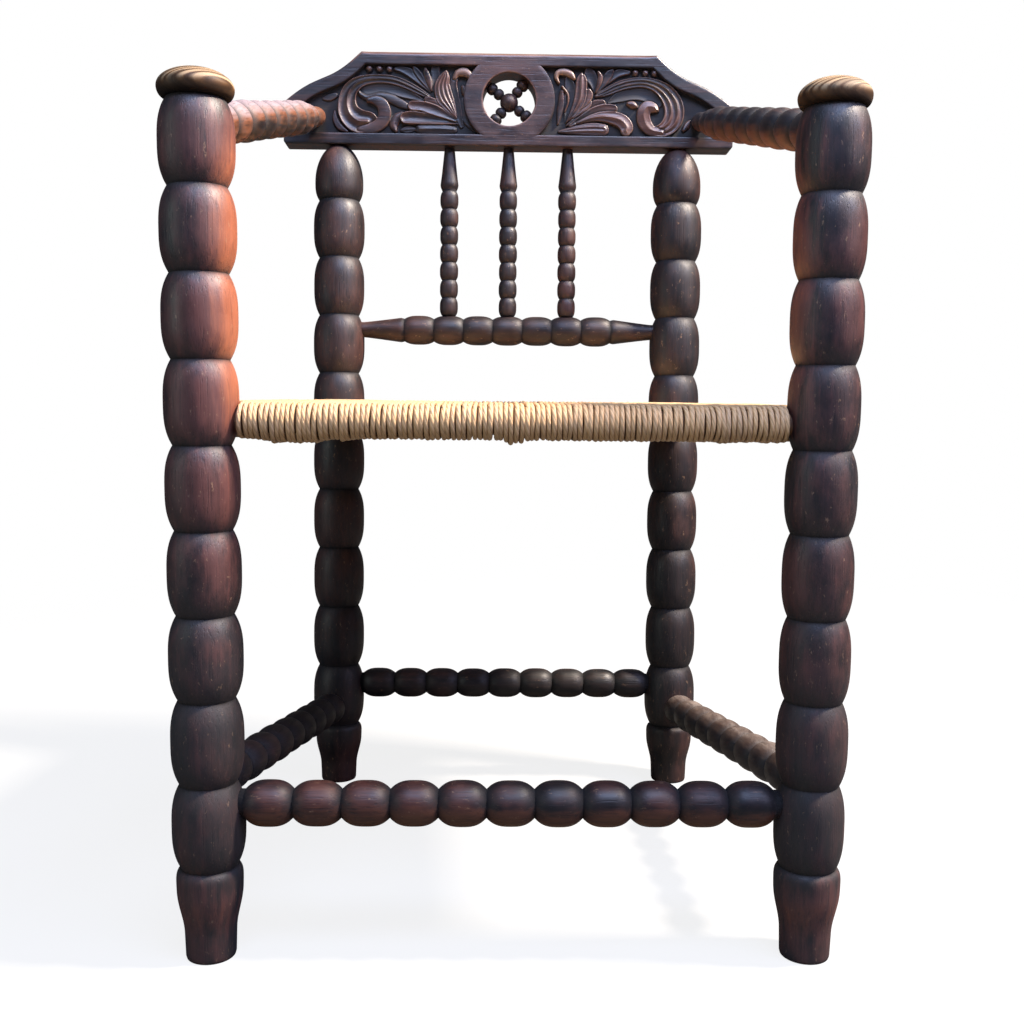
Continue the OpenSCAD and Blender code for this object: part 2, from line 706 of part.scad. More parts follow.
stuffing(2);  // stuffing_back
stuffing(3);  // stuffing_left
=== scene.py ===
# %% [markdown]
# # A bobbin-turned armchair with a rush seat
# The chair was made from sticks of oak turned on a lathe into rows of beads, a
# carved plank across the top of the back, and a seat woven from twisted rush.
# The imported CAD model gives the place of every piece. This lesson makes the
# surfaces that you see around it, each one as an array of points that numpy
# works out from a formula.

# %% Load the frame
import math

import bpy
import numpy as np
from mathutils import Euler, Matrix, Vector


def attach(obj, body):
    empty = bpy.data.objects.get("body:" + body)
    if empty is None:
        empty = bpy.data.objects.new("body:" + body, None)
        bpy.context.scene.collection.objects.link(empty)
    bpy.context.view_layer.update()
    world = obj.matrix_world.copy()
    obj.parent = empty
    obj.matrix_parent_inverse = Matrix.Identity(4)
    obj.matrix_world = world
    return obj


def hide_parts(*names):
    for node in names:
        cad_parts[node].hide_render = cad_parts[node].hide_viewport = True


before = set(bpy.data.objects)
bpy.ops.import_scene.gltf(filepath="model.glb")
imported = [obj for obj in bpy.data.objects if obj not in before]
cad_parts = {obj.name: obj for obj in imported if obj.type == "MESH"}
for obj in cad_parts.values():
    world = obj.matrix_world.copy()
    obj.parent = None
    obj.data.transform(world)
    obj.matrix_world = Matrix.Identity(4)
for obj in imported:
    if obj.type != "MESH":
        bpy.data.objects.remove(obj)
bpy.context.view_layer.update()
MM = 0.001
print("CAD nodes:", len(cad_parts))

# %% [markdown]
# ## The camera
# The picture was taken close to the chair, at the height of the seat, looking
# slightly down. That gives the strong perspective: the front posts lean together
# towards the floor. A long lens further away would lose this, so the camera
# stands as close as the real one did. A camera could be aimed with a constraint,
# but three angles are plain numbers that can be measured.

# %% Camera
CAMERA_PLACE = (-0.0171, -1.1097, 0.4523)
LENS_MM = 39.42
SENSOR_MM = 36.0
PITCH_DOWN = 0.1007
YAW_RIGHT = 0.0184
ROLL = 0.0090

camera = bpy.data.objects.new("camera", bpy.data.cameras.new("camera"))
bpy.context.scene.collection.objects.link(camera)
camera.data.lens = LENS_MM
camera.data.sensor_width = SENSOR_MM
turn = Euler((math.pi / 2 - PITCH_DOWN, 0, -YAW_RIGHT)).to_matrix() @ Matrix.Rotation(ROLL, 3, "Z")
camera.matrix_world = Matrix.Translation(CAMERA_PLACE) @ turn.to_4x4()
bpy.context.scene.camera = camera
print("camera at", CAMERA_PLACE)

# %% [markdown]
# ## From arrays to meshes
# Every surface here is a grid of points: rows along the piece and columns round
# it. Outlines could also be spun or extruded with modifiers, but a grid keeps full
# control: each point can be moved by any formula, and can carry values such as
# how worn the wood is there. The grid also knows its own neighbours, so the faces
# follow from the row and column numbers alone.

# %% Mesh from faces and points
def make_object(name, points, faces, fields, sharp_degrees=None):
    """Makes one object from points in mm, faces and values per point. Its volume is the
    sum of the tetrahedra between the origin and its triangles, so a wrong side shows
    as a volume below zero, and the faces are then turned round."""
    volume = 0.0
    for part in faces:
        p = points[part]
        for k in range(1, part.shape[1] - 1):
            volume += np.einsum("ij,ij->", p[:, 0], np.cross(p[:, k], p[:, k + 1])) / 6
    if volume < 0:
        faces = [part[:, ::-1] for part in faces]
    mesh = bpy.data.meshes.new(name)
    mesh.from_pydata((points * MM).tolist(), [], [face for part in faces for face in part.tolist()])
    for key, values in fields.items():
        kind, slot = ("FLOAT_VECTOR", "vector") if values.ndim == 2 else ("FLOAT", "value")
        mesh.attributes.new(key, kind, "POINT").data.foreach_set(slot, values.astype(np.float32).ravel())
    mesh.shade_smooth()
    if sharp_degrees:
        mesh.set_sharp_from_angle(angle=math.radians(sharp_degrees))
    made = bpy.data.objects.new(name, mesh)
    bpy.context.scene.collection.objects.link(made)
    return made


def grid_faces(rows, cols, wrap=True, first=0):
    """Quads of a grid whose point (i, j) is number first + i * cols + j."""
    index = first + np.arange(rows * cols).reshape(rows, cols)
    if wrap:
        index = np.hstack([index, index[:, :1]])
    corners = index[:-1, :-1], index[:-1, 1:], index[1:, 1:], index[1:, :-1]
    return np.stack(corners, -1).reshape(-1, 4)


def tube_object(name, grid, fields):
    """Closes a wrapped grid of points with one pole at each end and makes an object."""
    rows, cols = grid.shape[:2]
    ends = np.stack([grid[0].mean(0), grid[-1].mean(0)])
    points = np.vstack([grid.reshape(-1, 3), ends])
    near = np.arange(cols)
    far = near + (rows - 1) * cols
    low = np.stack([np.full(cols, rows * cols), np.roll(near, -1), near], -1)
    high = np.stack([np.full(cols, rows * cols + 1), far, np.roll(far, -1)], -1)
    full = {}
    for key, values in fields.items():
        flat = values.reshape(rows * cols, *values.shape[2:])
        full[key] = np.concatenate([flat, values[0].mean(0)[None], values[-1].mean(0)[None]])
    return make_object(name, points, [grid_faces(rows, cols), low, high], full)


print("a closed grid of 3 rows of 4 points has", len(grid_faces(3, 4)), "faces")

# %% [markdown]
# ## The turned bead
# A bead on the real chair is a small barrel between two V-shaped grooves. Its
# section isn't a circle: it is flatter in the middle and turns quickly into the
# groove. The formula takes the third power for this where a parabola has the second.
# The same function makes the big beads of the posts and the small ones of the
# spindles, which is how the turner worked too: one gouge, many sizes.

# %% Profiles of the turning
BARREL = 3
BEAD_ROWS = 24
# Beads differ by up to this much in radius, in mm, because a gouge follows the eye
BEAD_SPREAD = 0.25


def barrel(t, bead_r, neck_r, power=BARREL):
    """Radius at share t of a bead: the neck, plus the swell times one minus the third
    power, or another one, of the distance from the bead's middle."""
    return neck_r + (bead_r - neck_r) * (1 - np.abs(2 * t - 1) ** power)


def eased(t):
    """A smooth step: half of one minus the cosine, from 0 to 1."""
    return (1 - np.cos(np.pi * np.clip(t, 0, 1))) / 2


def groove_places(count, pitch, start, growth=0.0):
    """Lengths of the grooves of a row of beads: equal steps, plus a parabola that makes the
    first bead longer than the middle one by the share growth, and the last one shorter."""
    i = np.arange(count + 1)
    return start + (i + growth * i * (count - i) / max(1, count - 1)) * pitch


def bead_row(count, pitch, start, bead_r, neck_r, rng, rows=BEAD_ROWS, growth=0.0, power=BARREL):
    """Lengths and radii of a row of beads. The shares of each bead gather towards its
    grooves as a cosine does, and each bead is a little larger or smaller than planned."""
    share = (1 - np.cos(np.pi * np.arange(rows) / rows)) / 2
    swell = bead_r + rng.uniform(-BEAD_SPREAD, BEAD_SPREAD, (count, 1))
    grooves = groove_places(count, pitch, start, growth)[:, None]
    length = grooves[:-1] + np.diff(grooves, axis=0) * share
    radius = barrel(share, swell, neck_r, power)
    return np.append(length.ravel(), grooves[-1]), np.append(radius.ravel(), neck_r)


def groove_depth(length, grooves, width):
    """1 at the bottom of a groove, falling to 0 with distance as an exponential does."""
    away = np.abs(length[:, None] - np.asarray(grooves)).min(1)
    return np.exp(-away / width)


print("a bead of 29 mm over a groove of 22.5 has, at a quarter of its length,", barrel(0.25, 29.0, 22.5))

# %% [markdown]
# ## From a profile to a turned stick
# A lathe turns a profile round an axis. Wood that has dried for a century is no
# longer round, because it shrinks more along its growth rings than across them,
# so each stick is turned slightly oval. Every point also keeps where it lies in
# the stick, its grain place, so that the grain can run along the wood whatever
# way the stick stands.

# %% Lathe
# Width in mm over which the dark of a groove fades
GROOVE_WIDTH = 2.0


def axis_frame(start, end):
    """The unit vector from start to end, and two more at right angles to it."""
    axis = (end - start) / np.linalg.norm(end - start)
    side = np.cross(axis, [0.0, 0.0, 1.0] if abs(axis[2]) < 0.9 else [0.0, 1.0, 0.0])
    side /= np.linalg.norm(side)
    return axis, side, np.cross(axis, side)


def lathe_grid(start, end, length, radius, around, rng, oval=0.006):
    """Points of a turned stick: start, plus the length along the axis, plus the radius
    times the cosine and the sine of the angle along the two cross directions. length
    may have one value for a whole row, or one for each point."""
    axis, side, other = axis_frame(start, end)
    angle = np.arange(around) / around * 2 * np.pi
    if length.ndim == 1:
        length = length[:, None] * np.ones(around)
    if radius.ndim == 1:
        radius = radius[:, None] * np.ones(around)
    radius = radius * (1 + oval * np.cos(2 * (angle - rng.uniform(0, np.pi))))
    across = radius * np.cos(angle), radius * np.sin(angle)
    grid = (start + length[..., None] * axis
            + across[0][..., None] * side + across[1][..., None] * other)
    grain = np.stack([across[0], across[1], length], -1) * MM + rng.uniform(0, 9, 3)
    return grid, grain, length


def stick_fields(length, grooves, groove_width, around):
    """How deep in a groove each point lies, how far out on a bead's belly, which starts
    over four widths of a groove, and no wear."""
    depth = groove_depth(length, grooves, groove_width)
    belly = 1 - groove_depth(length, grooves, 4 * groove_width)
    spread = np.ones(around)
    return {"groove": depth[:, None] * spread, "warm": belly[:, None] * spread,
            "wear": 0 * depth[:, None] * spread}


def turned(name, start, end, length, radius, around, grooves, seed,
           groove_width=GROOVE_WIDTH, wear=None, painted_shade=None):
    """Makes a turned stick with its grain place, its grooves, its worn places and any
    painted shade, which darkens the wood as a shallow groove does."""
    rng = np.random.default_rng(seed)
    grid, grain, _ = lathe_grid(start, end, length, radius, around, rng)
    fields = stick_fields(length, grooves, groove_width, around)
    if wear:
        fields["wear"] = wear(grid)
    # Painted shade darkens the wood through the groove mask
    if painted_shade:
        fields["groove"] = np.maximum(fields["groove"], painted_shade(grid))
    return tube_object(name, grid, {"grain": grain, **fields})


print("the dark of a groove fades over", GROOVE_WIDTH, "mm")

# %% [markdown]
# ## Where everything stands
# The sizes repeat those of the CAD source, in millimetres. The back leans by
# three degrees, so its pieces are placed by a height along the back posts and a
# depth behind them.

# %% Plan
# A piece stops this far from the wood it meets, in mm
GAP = 0.3
FRONT_W, BACK_W, SEAT_D = 485.0, 394.0, 428.0
FRONT_Y = -232.404
BACK_Y = FRONT_Y + SEAT_D
RAKE = math.radians(3)
POST_R, POST_NECK_R, POST_BEADS, BEAD_GROWTH = 29.0, 22.5, 9, 0.034
FRONT_H, BACK_H = 674.5, 743.0
SIDES = {"left": -1, "right": 1}
DEEP = np.array([0, math.cos(RAKE), -math.sin(RAKE)])
UP_BACK = np.array([0, math.sin(RAKE), math.cos(RAKE)])


def back_point(x, height, deep=0.0):
    """The point at x, a height along the leaning back and a depth behind its middle."""
    return np.array([x, BACK_Y, 0.0]) + height * UP_BACK + deep * DEEP


def front_axis(side, z):
    """The point at height z on the axis of the left or right front post."""
    return np.array([side * FRONT_W / 2, FRONT_Y, z])


def back_axis(side, z):
    """The point at height z on the leaning axis of the left or right back post."""
    return back_point(side * BACK_W / 2, z / math.cos(RAKE))


print("back posts stand at y =", round(BACK_Y, 1), "mm")

# %% [markdown]
# ## Posts
# Each post is one stick of oak: a foot that tapers to the floor under a swelling,
# nine beads, and on the back posts an egg under the crest rail. The foot and the
# egg have their own formulas, and the three profiles are joined end to end.

# %% Profiles of the posts
FOOT_TIP_R, FOOT_BULGE, BALL_AT, BALL_FULL, BALL_SHUT = 20.0, 4.5, 0.28, 0.65, 18
# The foot's lower edge is worn round: heights and radii of its two lowest rows
FOOT_RIM, FOOT_RIM_H = np.array([[0.0, FOOT_TIP_R - 1.6], [0.5, FOOT_TIP_R - 0.5]]), 1.2
FRONT_FOOT_H, BACK_FOOT_H = 76.0, 67.0
EGG_H, EGG_R, EGG_TIP_R, EGG_BELLY = 63.0, 27.5, 8.5, 0.33
EGG_SHOULDER, EGG_SQUARE = 2.1, 0.7
FRONT_PITCH = (FRONT_H - FRONT_FOOT_H) / POST_BEADS
BACK_PITCH = (BACK_H - EGG_H - BACK_FOOT_H) / POST_BEADS
FOOT_ROWS, EGG_ROWS, POST_AROUND = 44, 30, 96


def foot_profile(height):
    """A straight taper from the floor, plus a ball above a quarter of the height that
    swells as a smooth step and turns into the groove as the 18th power does."""
    z = height * (1 - (1 - np.arange(FOOT_ROWS) / FOOT_ROWS) ** 1.5)
    taper = FOOT_TIP_R + (POST_NECK_R - FOOT_TIP_R) * z / height
    t = (z / height - BALL_AT) / (1 - BALL_AT)
    ball = taper + FOOT_BULGE * eased(t / BALL_FULL)
    radius = POST_NECK_R + (ball - POST_NECK_R) * (1 - np.clip(t, 0, 1) ** BALL_SHUT)
    keep = z > FOOT_RIM_H
    return np.append(FOOT_RIM[:, 0], z[keep]), np.append(FOOT_RIM[:, 1], radius[keep])


def egg_profile():
    """Rises from the groove as a bead does, then falls as a rounded-off square does."""
    t = (1 - np.cos(np.pi * np.arange(1, EGG_ROWS + 1) / EGG_ROWS)) / 2
    rise = POST_NECK_R + (EGG_R - POST_NECK_R) * (1 - np.clip(1 - t / EGG_BELLY, 0, 1) ** BARREL)
    fall = np.clip((t - EGG_BELLY) / (1 - EGG_BELLY), 0, 1)
    drop = EGG_TIP_R + (EGG_R - EGG_TIP_R) * (1 - fall ** EGG_SHOULDER) ** EGG_SQUARE
    return BACK_H - EGG_H + t * EGG_H, np.where(t < EGG_BELLY, rise, drop)


def post_profile(foot_h, pitch, bead_r, rng):
    """Lengths and radii of a foot with the row of beads over it, and the grooves' places."""
    foot_s, foot_r = foot_profile(foot_h)
    row_s, row_r = bead_row(POST_BEADS, pitch, foot_h, bead_r, POST_NECK_R, rng, growth=BEAD_GROWTH)
    grooves = groove_places(POST_BEADS, pitch, foot_h, BEAD_GROWTH)
    return np.append(foot_s, row_s), np.append(foot_r, row_r), grooves


print("front beads are", round(FRONT_PITCH, 1), "mm long and back ones", round(BACK_PITCH, 1), "mm")

# %% [markdown]
# ## Wear, painted light and painted shade on the front posts
# Arms and knees have rubbed the stain off the inner sides of the front posts, and
# shoes off their feet. The inner half of the left post is also painted paler for
# the sunlight on it, and the lower half of both is darkened with painted shade.
# Wear could be painted by hand, but a formula of a point's height and side is
# quick to change, and the noises of the material break it up later.

# %% Wear and painted shade of the front posts
# How strongly each post's inner side is worn; on the left post this also paints its sunlight
INNER_WEAR_AND_SUN = {"left": 1.0, "right": 0.5}
# Where it lies, in beads from the top: the middle and half height of the rubbed part, then
# the strength, middle and half height of a fainter glow under it
RUB_AT, RUB_HALF = 1.9, 1.7
GLOW, GLOW_AT, GLOW_HALF = 0.25, 3.0, 2.6
# Shoes have worn the feet brown again, most at this height and this far up and down
FOOT_WEAR, FOOT_WEAR_Z, FOOT_WEAR_H = 0.42, 44.0, 24.0
# Strength of the painted shade that darkens the lower part of the front posts, the share of
# the post's height under which it starts, and the share over which it thickens
LOWER_SHADE, SHADE_FROM, SHADE_OVER = 0.44, 0.5, 0.3


def inner_wear_and_sun(word, side):
    """Orange wear where arms and knees rubbed the inner side of the front posts, mostly the
    left one: most on the second and third beads from the top. The whole inner half is
    lightened, which on the left post also paints the sunlight on that side. Down the post
    it falls as bells do, and round it as the 1.5th power of the cosine. The foot's wear is added."""
    def worn(grid):
        x, z = grid[..., 0] - side * FRONT_W / 2, grid[..., 2]
        facing = np.clip(-side * x / POST_R, 0, 1) ** 1.5
        beads_down = (FRONT_H - z) / FRONT_PITCH
        height = np.exp(-((beads_down - RUB_AT) / RUB_HALF) ** 4)
        height = height + GLOW * np.exp(-((beads_down - GLOW_AT) / GLOW_HALF) ** 2)
        kicked = FOOT_WEAR * np.exp(-((z - FOOT_WEAR_Z) / FOOT_WEAR_H) ** 2)
        return INNER_WEAR_AND_SUN[word] * facing * np.clip(height, 0, 1) + kicked
    return worn


def lower_painted_shade(grid):
    """Painted shade on the lower part of a post, under the seat: a smooth step that starts at
    half its height and is full at a fifth of it."""
    return LOWER_SHADE * eased((SHADE_FROM * FRONT_H - grid[..., 2]) / (SHADE_OVER * FRONT_H))


print("wear goes up to", INNER_WEAR_AND_SUN, "and grime to", LOWER_SHADE)

# %% Posts
# The right front post was turned a little thinner than the left one
FRONT_R = {"left": 29.0, "right": 28.0}
# Height below which a back post's rows are levelled with the floor
FLATTENED_H = 20.0
pieces = {}
for word, side in SIDES.items():
    rng = np.random.default_rng(11 + side)
    length, radius, grooves = post_profile(FRONT_FOOT_H, FRONT_PITCH, FRONT_R[word], rng)
    pieces["front_post_" + word] = turned(
        "turned_front_post_" + word, front_axis(side, 0), front_axis(side, FRONT_H), length, radius,
        POST_AROUND, grooves, 20 + side, wear=inner_wear_and_sun(word, side), painted_shade=lower_painted_shade)

    length, radius, grooves = post_profile(BACK_FOOT_H, BACK_PITCH, POST_R, rng)
    egg_s, egg_r = egg_profile()
    length, radius = np.append(length, egg_s), np.append(radius, egg_r)
    rng = np.random.default_rng(30 + side)
    start, end = back_point(side * BACK_W / 2, 0), back_point(side * BACK_W / 2, BACK_H)
    grid, grain, _ = lathe_grid(start, end, length, radius, POST_AROUND, rng)
    # The lowest rows slide along the post until the foot stands flat on the floor
    behind = (grid - start) @ DEEP
    slide = behind * math.tan(RAKE) * np.clip(1 - length / FLATTENED_H, 0, 1)[:, None]
    grid = grid + slide[..., None] * UP_BACK
    fields = {"grain": grain, **stick_fields(length, grooves, GROOVE_WIDTH, POST_AROUND)}
    pieces["back_post_" + word] = tube_object("turned_back_post_" + word, grid, fields)
print("posts:", [len(p.data.polygons) for p in pieces.values()])

# %% [markdown]
# ## Buns on the front posts
# A flat turned bun caps each front post. Hands have worn its dark stain away, so
# it shows the honey colour of the oak. Its profile is two quarters of an ellipse,
# a low one from the post out to the widest place and a higher one from there to
# the top. Its grain place is measured from the heart of the tree, a little off
# the axis, so that growth rings show on top and long dark pores on the side.

# %% Buns
FINIAL_R = {"left": 29.0, "right": 27.8}
FINIAL_NECK_R, FINIAL_H, FINIAL_BELLY = 23.0, 23.0, 8.5
# Where the heart of the tree lies from the axis, the step of the growth rings in mm, and
# how narrow their dark lines are
HEART, RING_STEP, RING_NARROW = np.array([-9.0, 6.0]), 2.7, 6
# How worn the bun's top is, how dark its rings are, and the share of its belly under which its underside
# is darkened with painted shade
BUN_WEAR, RING_DARK, UNDERSIDE_SHADE_SHARE = 0.72, 0.7, 0.6
for word, side in SIDES.items():
    swell = FINIAL_R[word] - FINIAL_NECK_R
    t = np.linspace(0, 1, 22)
    low_s = GAP + (FINIAL_BELLY - GAP) * (1 - np.cos(np.pi / 2 * t))
    low_r = FINIAL_NECK_R + swell * np.sin(np.pi / 2 * t)
    t = np.linspace(0, 1, 36)[1:-1]
    high_s = FINIAL_BELLY + (FINIAL_H - FINIAL_BELLY) * np.sin(np.pi / 2 * t)
    high_r = FINIAL_R[word] * np.cos(np.pi / 2 * t)
    # The underside starts on the post as a ring that is a little smaller
    length = np.concatenate([[0.2], low_s, high_s])
    radius = np.concatenate([[FINIAL_NECK_R - 2], low_r, high_r])
    start = front_axis(side, FRONT_H)
    grid, _, rise = lathe_grid(
        start, start + [0, 0, FINIAL_H], length, radius, POST_AROUND, np.random.default_rng(40 + side))
    from_heart = grid[..., :2] - start[:2] - HEART
    rings = np.hypot(from_heart[..., 0], from_heart[..., 1])
    grain = np.stack([rings, 0.06 * from_heart[..., 0], rise], -1) * MM + 2.0 + side
    wear = BUN_WEAR - RING_DARK * np.sin(np.pi * rings / RING_STEP) ** RING_NARROW
    wear = wear * eased((rise - 0.5 * FINIAL_BELLY) / FINIAL_BELLY)
    # The underside gets its painted shade through the groove mask
    pieces["finial_" + word] = tube_object("turned_finial_" + word, grid, {
        "grain": grain, "groove": np.clip(1 - rise / (UNDERSIDE_SHADE_SHARE * FINIAL_BELLY), 0, 1) ** 0.8,
        "warm": np.clip(1 - rise / FINIAL_H, 0, 1), "wear": wear})
print("buns:", [len(pieces["finial_" + w].data.polygons) for w in SIDES])

# %% [markdown]
# ## Stretchers, middle rail and spindles
# These are all rows of beads between two sockets. Only their ends differ: a
# stretcher starts with a plain tenon, the middle rail narrows to both of its
# ends, and a spindle ends in a long plain taper at the top.

# %% Stretchers
STRETCHER_R, STRETCHER_NECK_R, SHOULDER, TENON_STOP = 17.5, 11.5, POST_R + GAP, 13.5
STICK_AROUND = 72
# Heights at which they meet the posts; the side ones slope down to the back
FRONT_MEET_H, BACK_MEET_H, SIDE_MEET_FRONT_H, SIDE_MEET_BACK_H = 127, 115, 143, 90
# The side ones have rounder beads and deeper grooves, whose dark is spread wider as painted shade
SIDE_NECK_R, SIDE_BARREL, SIDE_SHADED_GROOVE_WIDTH = 10.2, 2.4, 5.0
FRONT_DIR = np.array([0.0, 0.0, 1.0])


def clear_of(start, end, post_dir, r):
    """Distance from a post's axis at which a stick of radius r is clear of the post: the
    post's radius plus r times the cosine of the angle between the two, over its sine."""
    slant = abs((end - start) @ post_dir) / np.linalg.norm(end - start)
    return (SHOULDER + r * slant) / math.sqrt(1 - slant * slant)


def rubbed_side(base, rise):
    """Wear on the upper side of a stick, or with a negative rise on its lower side: the
    base, plus the rise times the height over the axis in radii, from 0 to 1."""
    def worn(grid):
        return np.clip(base + rise * (grid - grid.mean(1, keepdims=True))[..., 2] / STRETCHER_R, 0, 1)
    return worn


def stretcher(name, start, end, start_dir, end_dir, count, bead_r, seed, wear=None,
              neck_r=STRETCHER_NECK_R, power=BARREL, groove_width=3.0):
    """A plain tenon at each end and a row of beads that fills the room between the posts."""
    rng = np.random.default_rng(seed)
    span = np.linalg.norm(end - start)
    first = clear_of(start, end, start_dir, STRETCHER_NECK_R)
    last = span - clear_of(start, end, end_dir, STRETCHER_NECK_R)
    pitch = (last - first) / count
    row_s, row_r = bead_row(count, pitch, first, bead_r, neck_r, rng, power=power)
    return turned(
        name, start, end, np.concatenate([[TENON_STOP], row_s, [span - TENON_STOP]]),
        np.concatenate([[STRETCHER_NECK_R], row_r, [STRETCHER_NECK_R]]),
        STICK_AROUND, groove_places(count, pitch, first), seed, groove_width=groove_width, wear=wear)


# Shoes rub the lower half of the front one, and the right one's top is painted pale as sunlit
FOOT_RUBBED, PAINTED_LIT_TOP = rubbed_side(0.2, -0.6), rubbed_side(-0.05, 0.6)
pieces["stretcher_front"] = stretcher(
    "turned_stretcher_front", front_axis(-1, FRONT_MEET_H), front_axis(1, FRONT_MEET_H),
    FRONT_DIR, FRONT_DIR, 11, 18.5, 51, FOOT_RUBBED)
pieces["stretcher_back"] = stretcher(
    "turned_stretcher_back", back_axis(-1, BACK_MEET_H), back_axis(1, BACK_MEET_H),
    UP_BACK, UP_BACK, 9, 17.0, 52)
for word, side in SIDES.items():
    pieces["stretcher_" + word] = stretcher(
        "turned_stretcher_" + word,
        front_axis(side, SIDE_MEET_FRONT_H), back_axis(side, SIDE_MEET_BACK_H), FRONT_DIR, UP_BACK,
        9, STRETCHER_R, 54 + side, PAINTED_LIT_TOP if side > 0 else None,
        SIDE_NECK_R, SIDE_BARREL, SIDE_SHADED_GROOVE_WIDTH)
print("stretchers made")

# %% Middle rail
MID_H, MID_R, MID_NECK_R, MID_PITCH, MID_BEADS = 532.0, 16.8, 13.0, 34.4, 7
MID_TENON_R, MID_TAPER_R, MID_TUCK, TUCK_AT = 8.8, 14.6, 1.2, 0.9
rng = np.random.default_rng(61)
row_start = (BACK_W - MID_BEADS * MID_PITCH) / 2
row_s, row_r = bead_row(MID_BEADS, MID_PITCH, row_start, MID_R, MID_NECK_R, rng)
# Each end widens almost evenly from the post and tucks in just before the first bead
t = np.linspace(0, 1, 16)
end_s = SHOULDER + t * (row_start - SHOULDER) * 0.985
end_r = MID_TENON_R + (MID_TAPER_R - MID_TENON_R) * t ** 1.1
end_r = end_r - MID_TUCK * np.clip((t - TUCK_AT) / 0.1, 0, 1) ** 2
length = np.concatenate([[TENON_STOP], end_s, row_s, BACK_W - end_s[::-1], [BACK_W - TENON_STOP]])
radius = np.concatenate([[MID_TENON_R], end_r, row_r, end_r[::-1], [MID_TENON_R]])
pieces["back_mid_rail"] = turned(
    "turned_back_mid_rail", back_point(-BACK_W / 2, MID_H), back_point(BACK_W / 2, MID_H),
    length, radius, STICK_AROUND, groove_places(MID_BEADS, MID_PITCH, row_start), 62, groove_width=1.5)
print("middle rail made")

# %% Spindles
SPINDLE_R, SPINDLE_NECK_R, SPINDLE_BEADS, SPINDLE_TAPER = 10.5, 8.0, 7, 50.0
SPINDLE_TIP_R, SPINDLE_TENON_R, SPINDLE_TENON, SWELL_END = 5.8, 5.0, 8, 0.16
SPINDLE_PLACES = {"left": -1, "centre": 0, "right": 1}
for word, place in SPINDLE_PLACES.items():
    rng = np.random.default_rng(70 + place)
    first = MID_H + MID_R + GAP
    pitch = (BACK_H - SPINDLE_TAPER - first) / SPINDLE_BEADS
    row_s, row_r = bead_row(SPINDLE_BEADS, pitch, first, SPINDLE_R, SPINDLE_NECK_R, rng, rows=16)
    # The taper swells quickly above the last groove, then thins in a slight hollow
    t = np.linspace(0, 1, 22)[1:]
    swelling = np.sin(np.pi / 2 * np.clip(t / SWELL_END, 0, 1))
    swell = SPINDLE_NECK_R + (SPINDLE_R - SPINDLE_NECK_R) * swelling
    thinning = np.clip((t - SWELL_END) / (1 - SWELL_END), 0, 1) ** 0.85
    thin = SPINDLE_R + (SPINDLE_TIP_R - SPINDLE_R) * thinning
    top_s, top_r = BACK_H - SPINDLE_TAPER + t * SPINDLE_TAPER, np.where(t < SWELL_END, swell, thin)
    base = back_point(place * 2 * MID_PITCH, 0)
    pieces["spindle_" + word] = turned(
        "turned_spindle_" + word, base, base + UP_BACK,
        np.concatenate([[first - SPINDLE_TENON, first - 0.2], row_s, top_s, [BACK_H + SPINDLE_TENON]]),
        np.concatenate([[SPINDLE_TENON_R, SPINDLE_TENON_R], row_r, top_r, [SPINDLE_TIP_R]]),
        48, groove_places(SPINDLE_BEADS, pitch, first), 73 + place, groove_width=1.0)
print("spindles made")

# %% [markdown]
# ## Arms
# An arm is a stick of ten beads that rises from the front post to the crest rail
# and narrows towards its back end. Its front end is shaped to fit round the post.
# A Boolean cut could do that, but the ends can also be solved: the first row of
# points slides along the arm until it touches the post, and the last row until it
# touches the carved board.

# %% Arms
ARM_DROP, ARM_RISE, ARM_INSET = 18.0, 32.0, 39.0
ARM_R, ARM_NECK_R, ARM_END_R, ARM_BEADS, ARM_FULL, ARM_SMALL = 17.7, 12.2, 11.0, 10, 0.76, 0.94
CREST_W, CREST_T, CREST_H, RECESS_D = 518.0, 30.0, 105.0, 6.5
# The beads start this far from the post's axis, and the ends reach this far into post and board
COPE_R, POST_BITE, BOARD_BITE = SHOULDER, 0.6, 1.2
FLOOR_DEEP = RECESS_D - CREST_T / 2
# Points round an arm and the power of its beads, then the width and the strength of the painted shade
# that darkens its grooves
ARM_AROUND, ARM_BARREL, ARM_SHADED_GROOVE_WIDTH, ARM_GROOVE_SHADE = 84, 2.2, 5.5, 1.8
# The wear falls by this share, from this share of the length on, over this share of it
END_LESS, END_FROM, END_OVER = 0.6, 0.86, 0.05
# The left arm is paler on top, for wear and a painted sheen of the sky; the right one on its lower half
ARM_WEAR_AND_SHEEN = {"left": rubbed_side(0.0, 1.0), "right": rubbed_side(0.25, -0.6)}


def post_reach(word, z):
    """Radius of the front post or its bun at height z."""
    last = np.diff(groove_places(POST_BEADS, FRONT_PITCH, FRONT_FOOT_H, BEAD_GROWTH))[-1]
    t = np.clip((z - (FRONT_H - last)) / last, 0, 1)
    bead = barrel(t, FRONT_R[word], POST_NECK_R)
    over = np.clip((z - FRONT_H) / FINIAL_BELLY, 0, 1)
    bun = FINIAL_NECK_R + (FINIAL_R[word] - FINIAL_NECK_R) * np.sqrt(np.clip(1 - (1 - over) ** 2, 0, 1))
    return np.where(z < FRONT_H, bead, bun)


def arm_scale(t):
    """1 along three quarters of the length, then a smooth step down to the end's radius."""
    return 1 - (1 - ARM_END_R / ARM_R) * eased((t - ARM_FULL) / (ARM_SMALL - ARM_FULL))


def arm_wear_and_sheen(grid, word):
    """The left arm is worn most on its top, where a hand lies, and that pale top also stands
    for a painted sheen of the sky. The right one is paler on its lower half. The last bead
    gets less of it on both, by a smooth step."""
    before_end = 1 - END_LESS * eased((np.arange(len(grid)) / len(grid) - END_FROM) / END_OVER)
    return ARM_WEAR_AND_SHEEN[word](grid) * before_end[:, None]


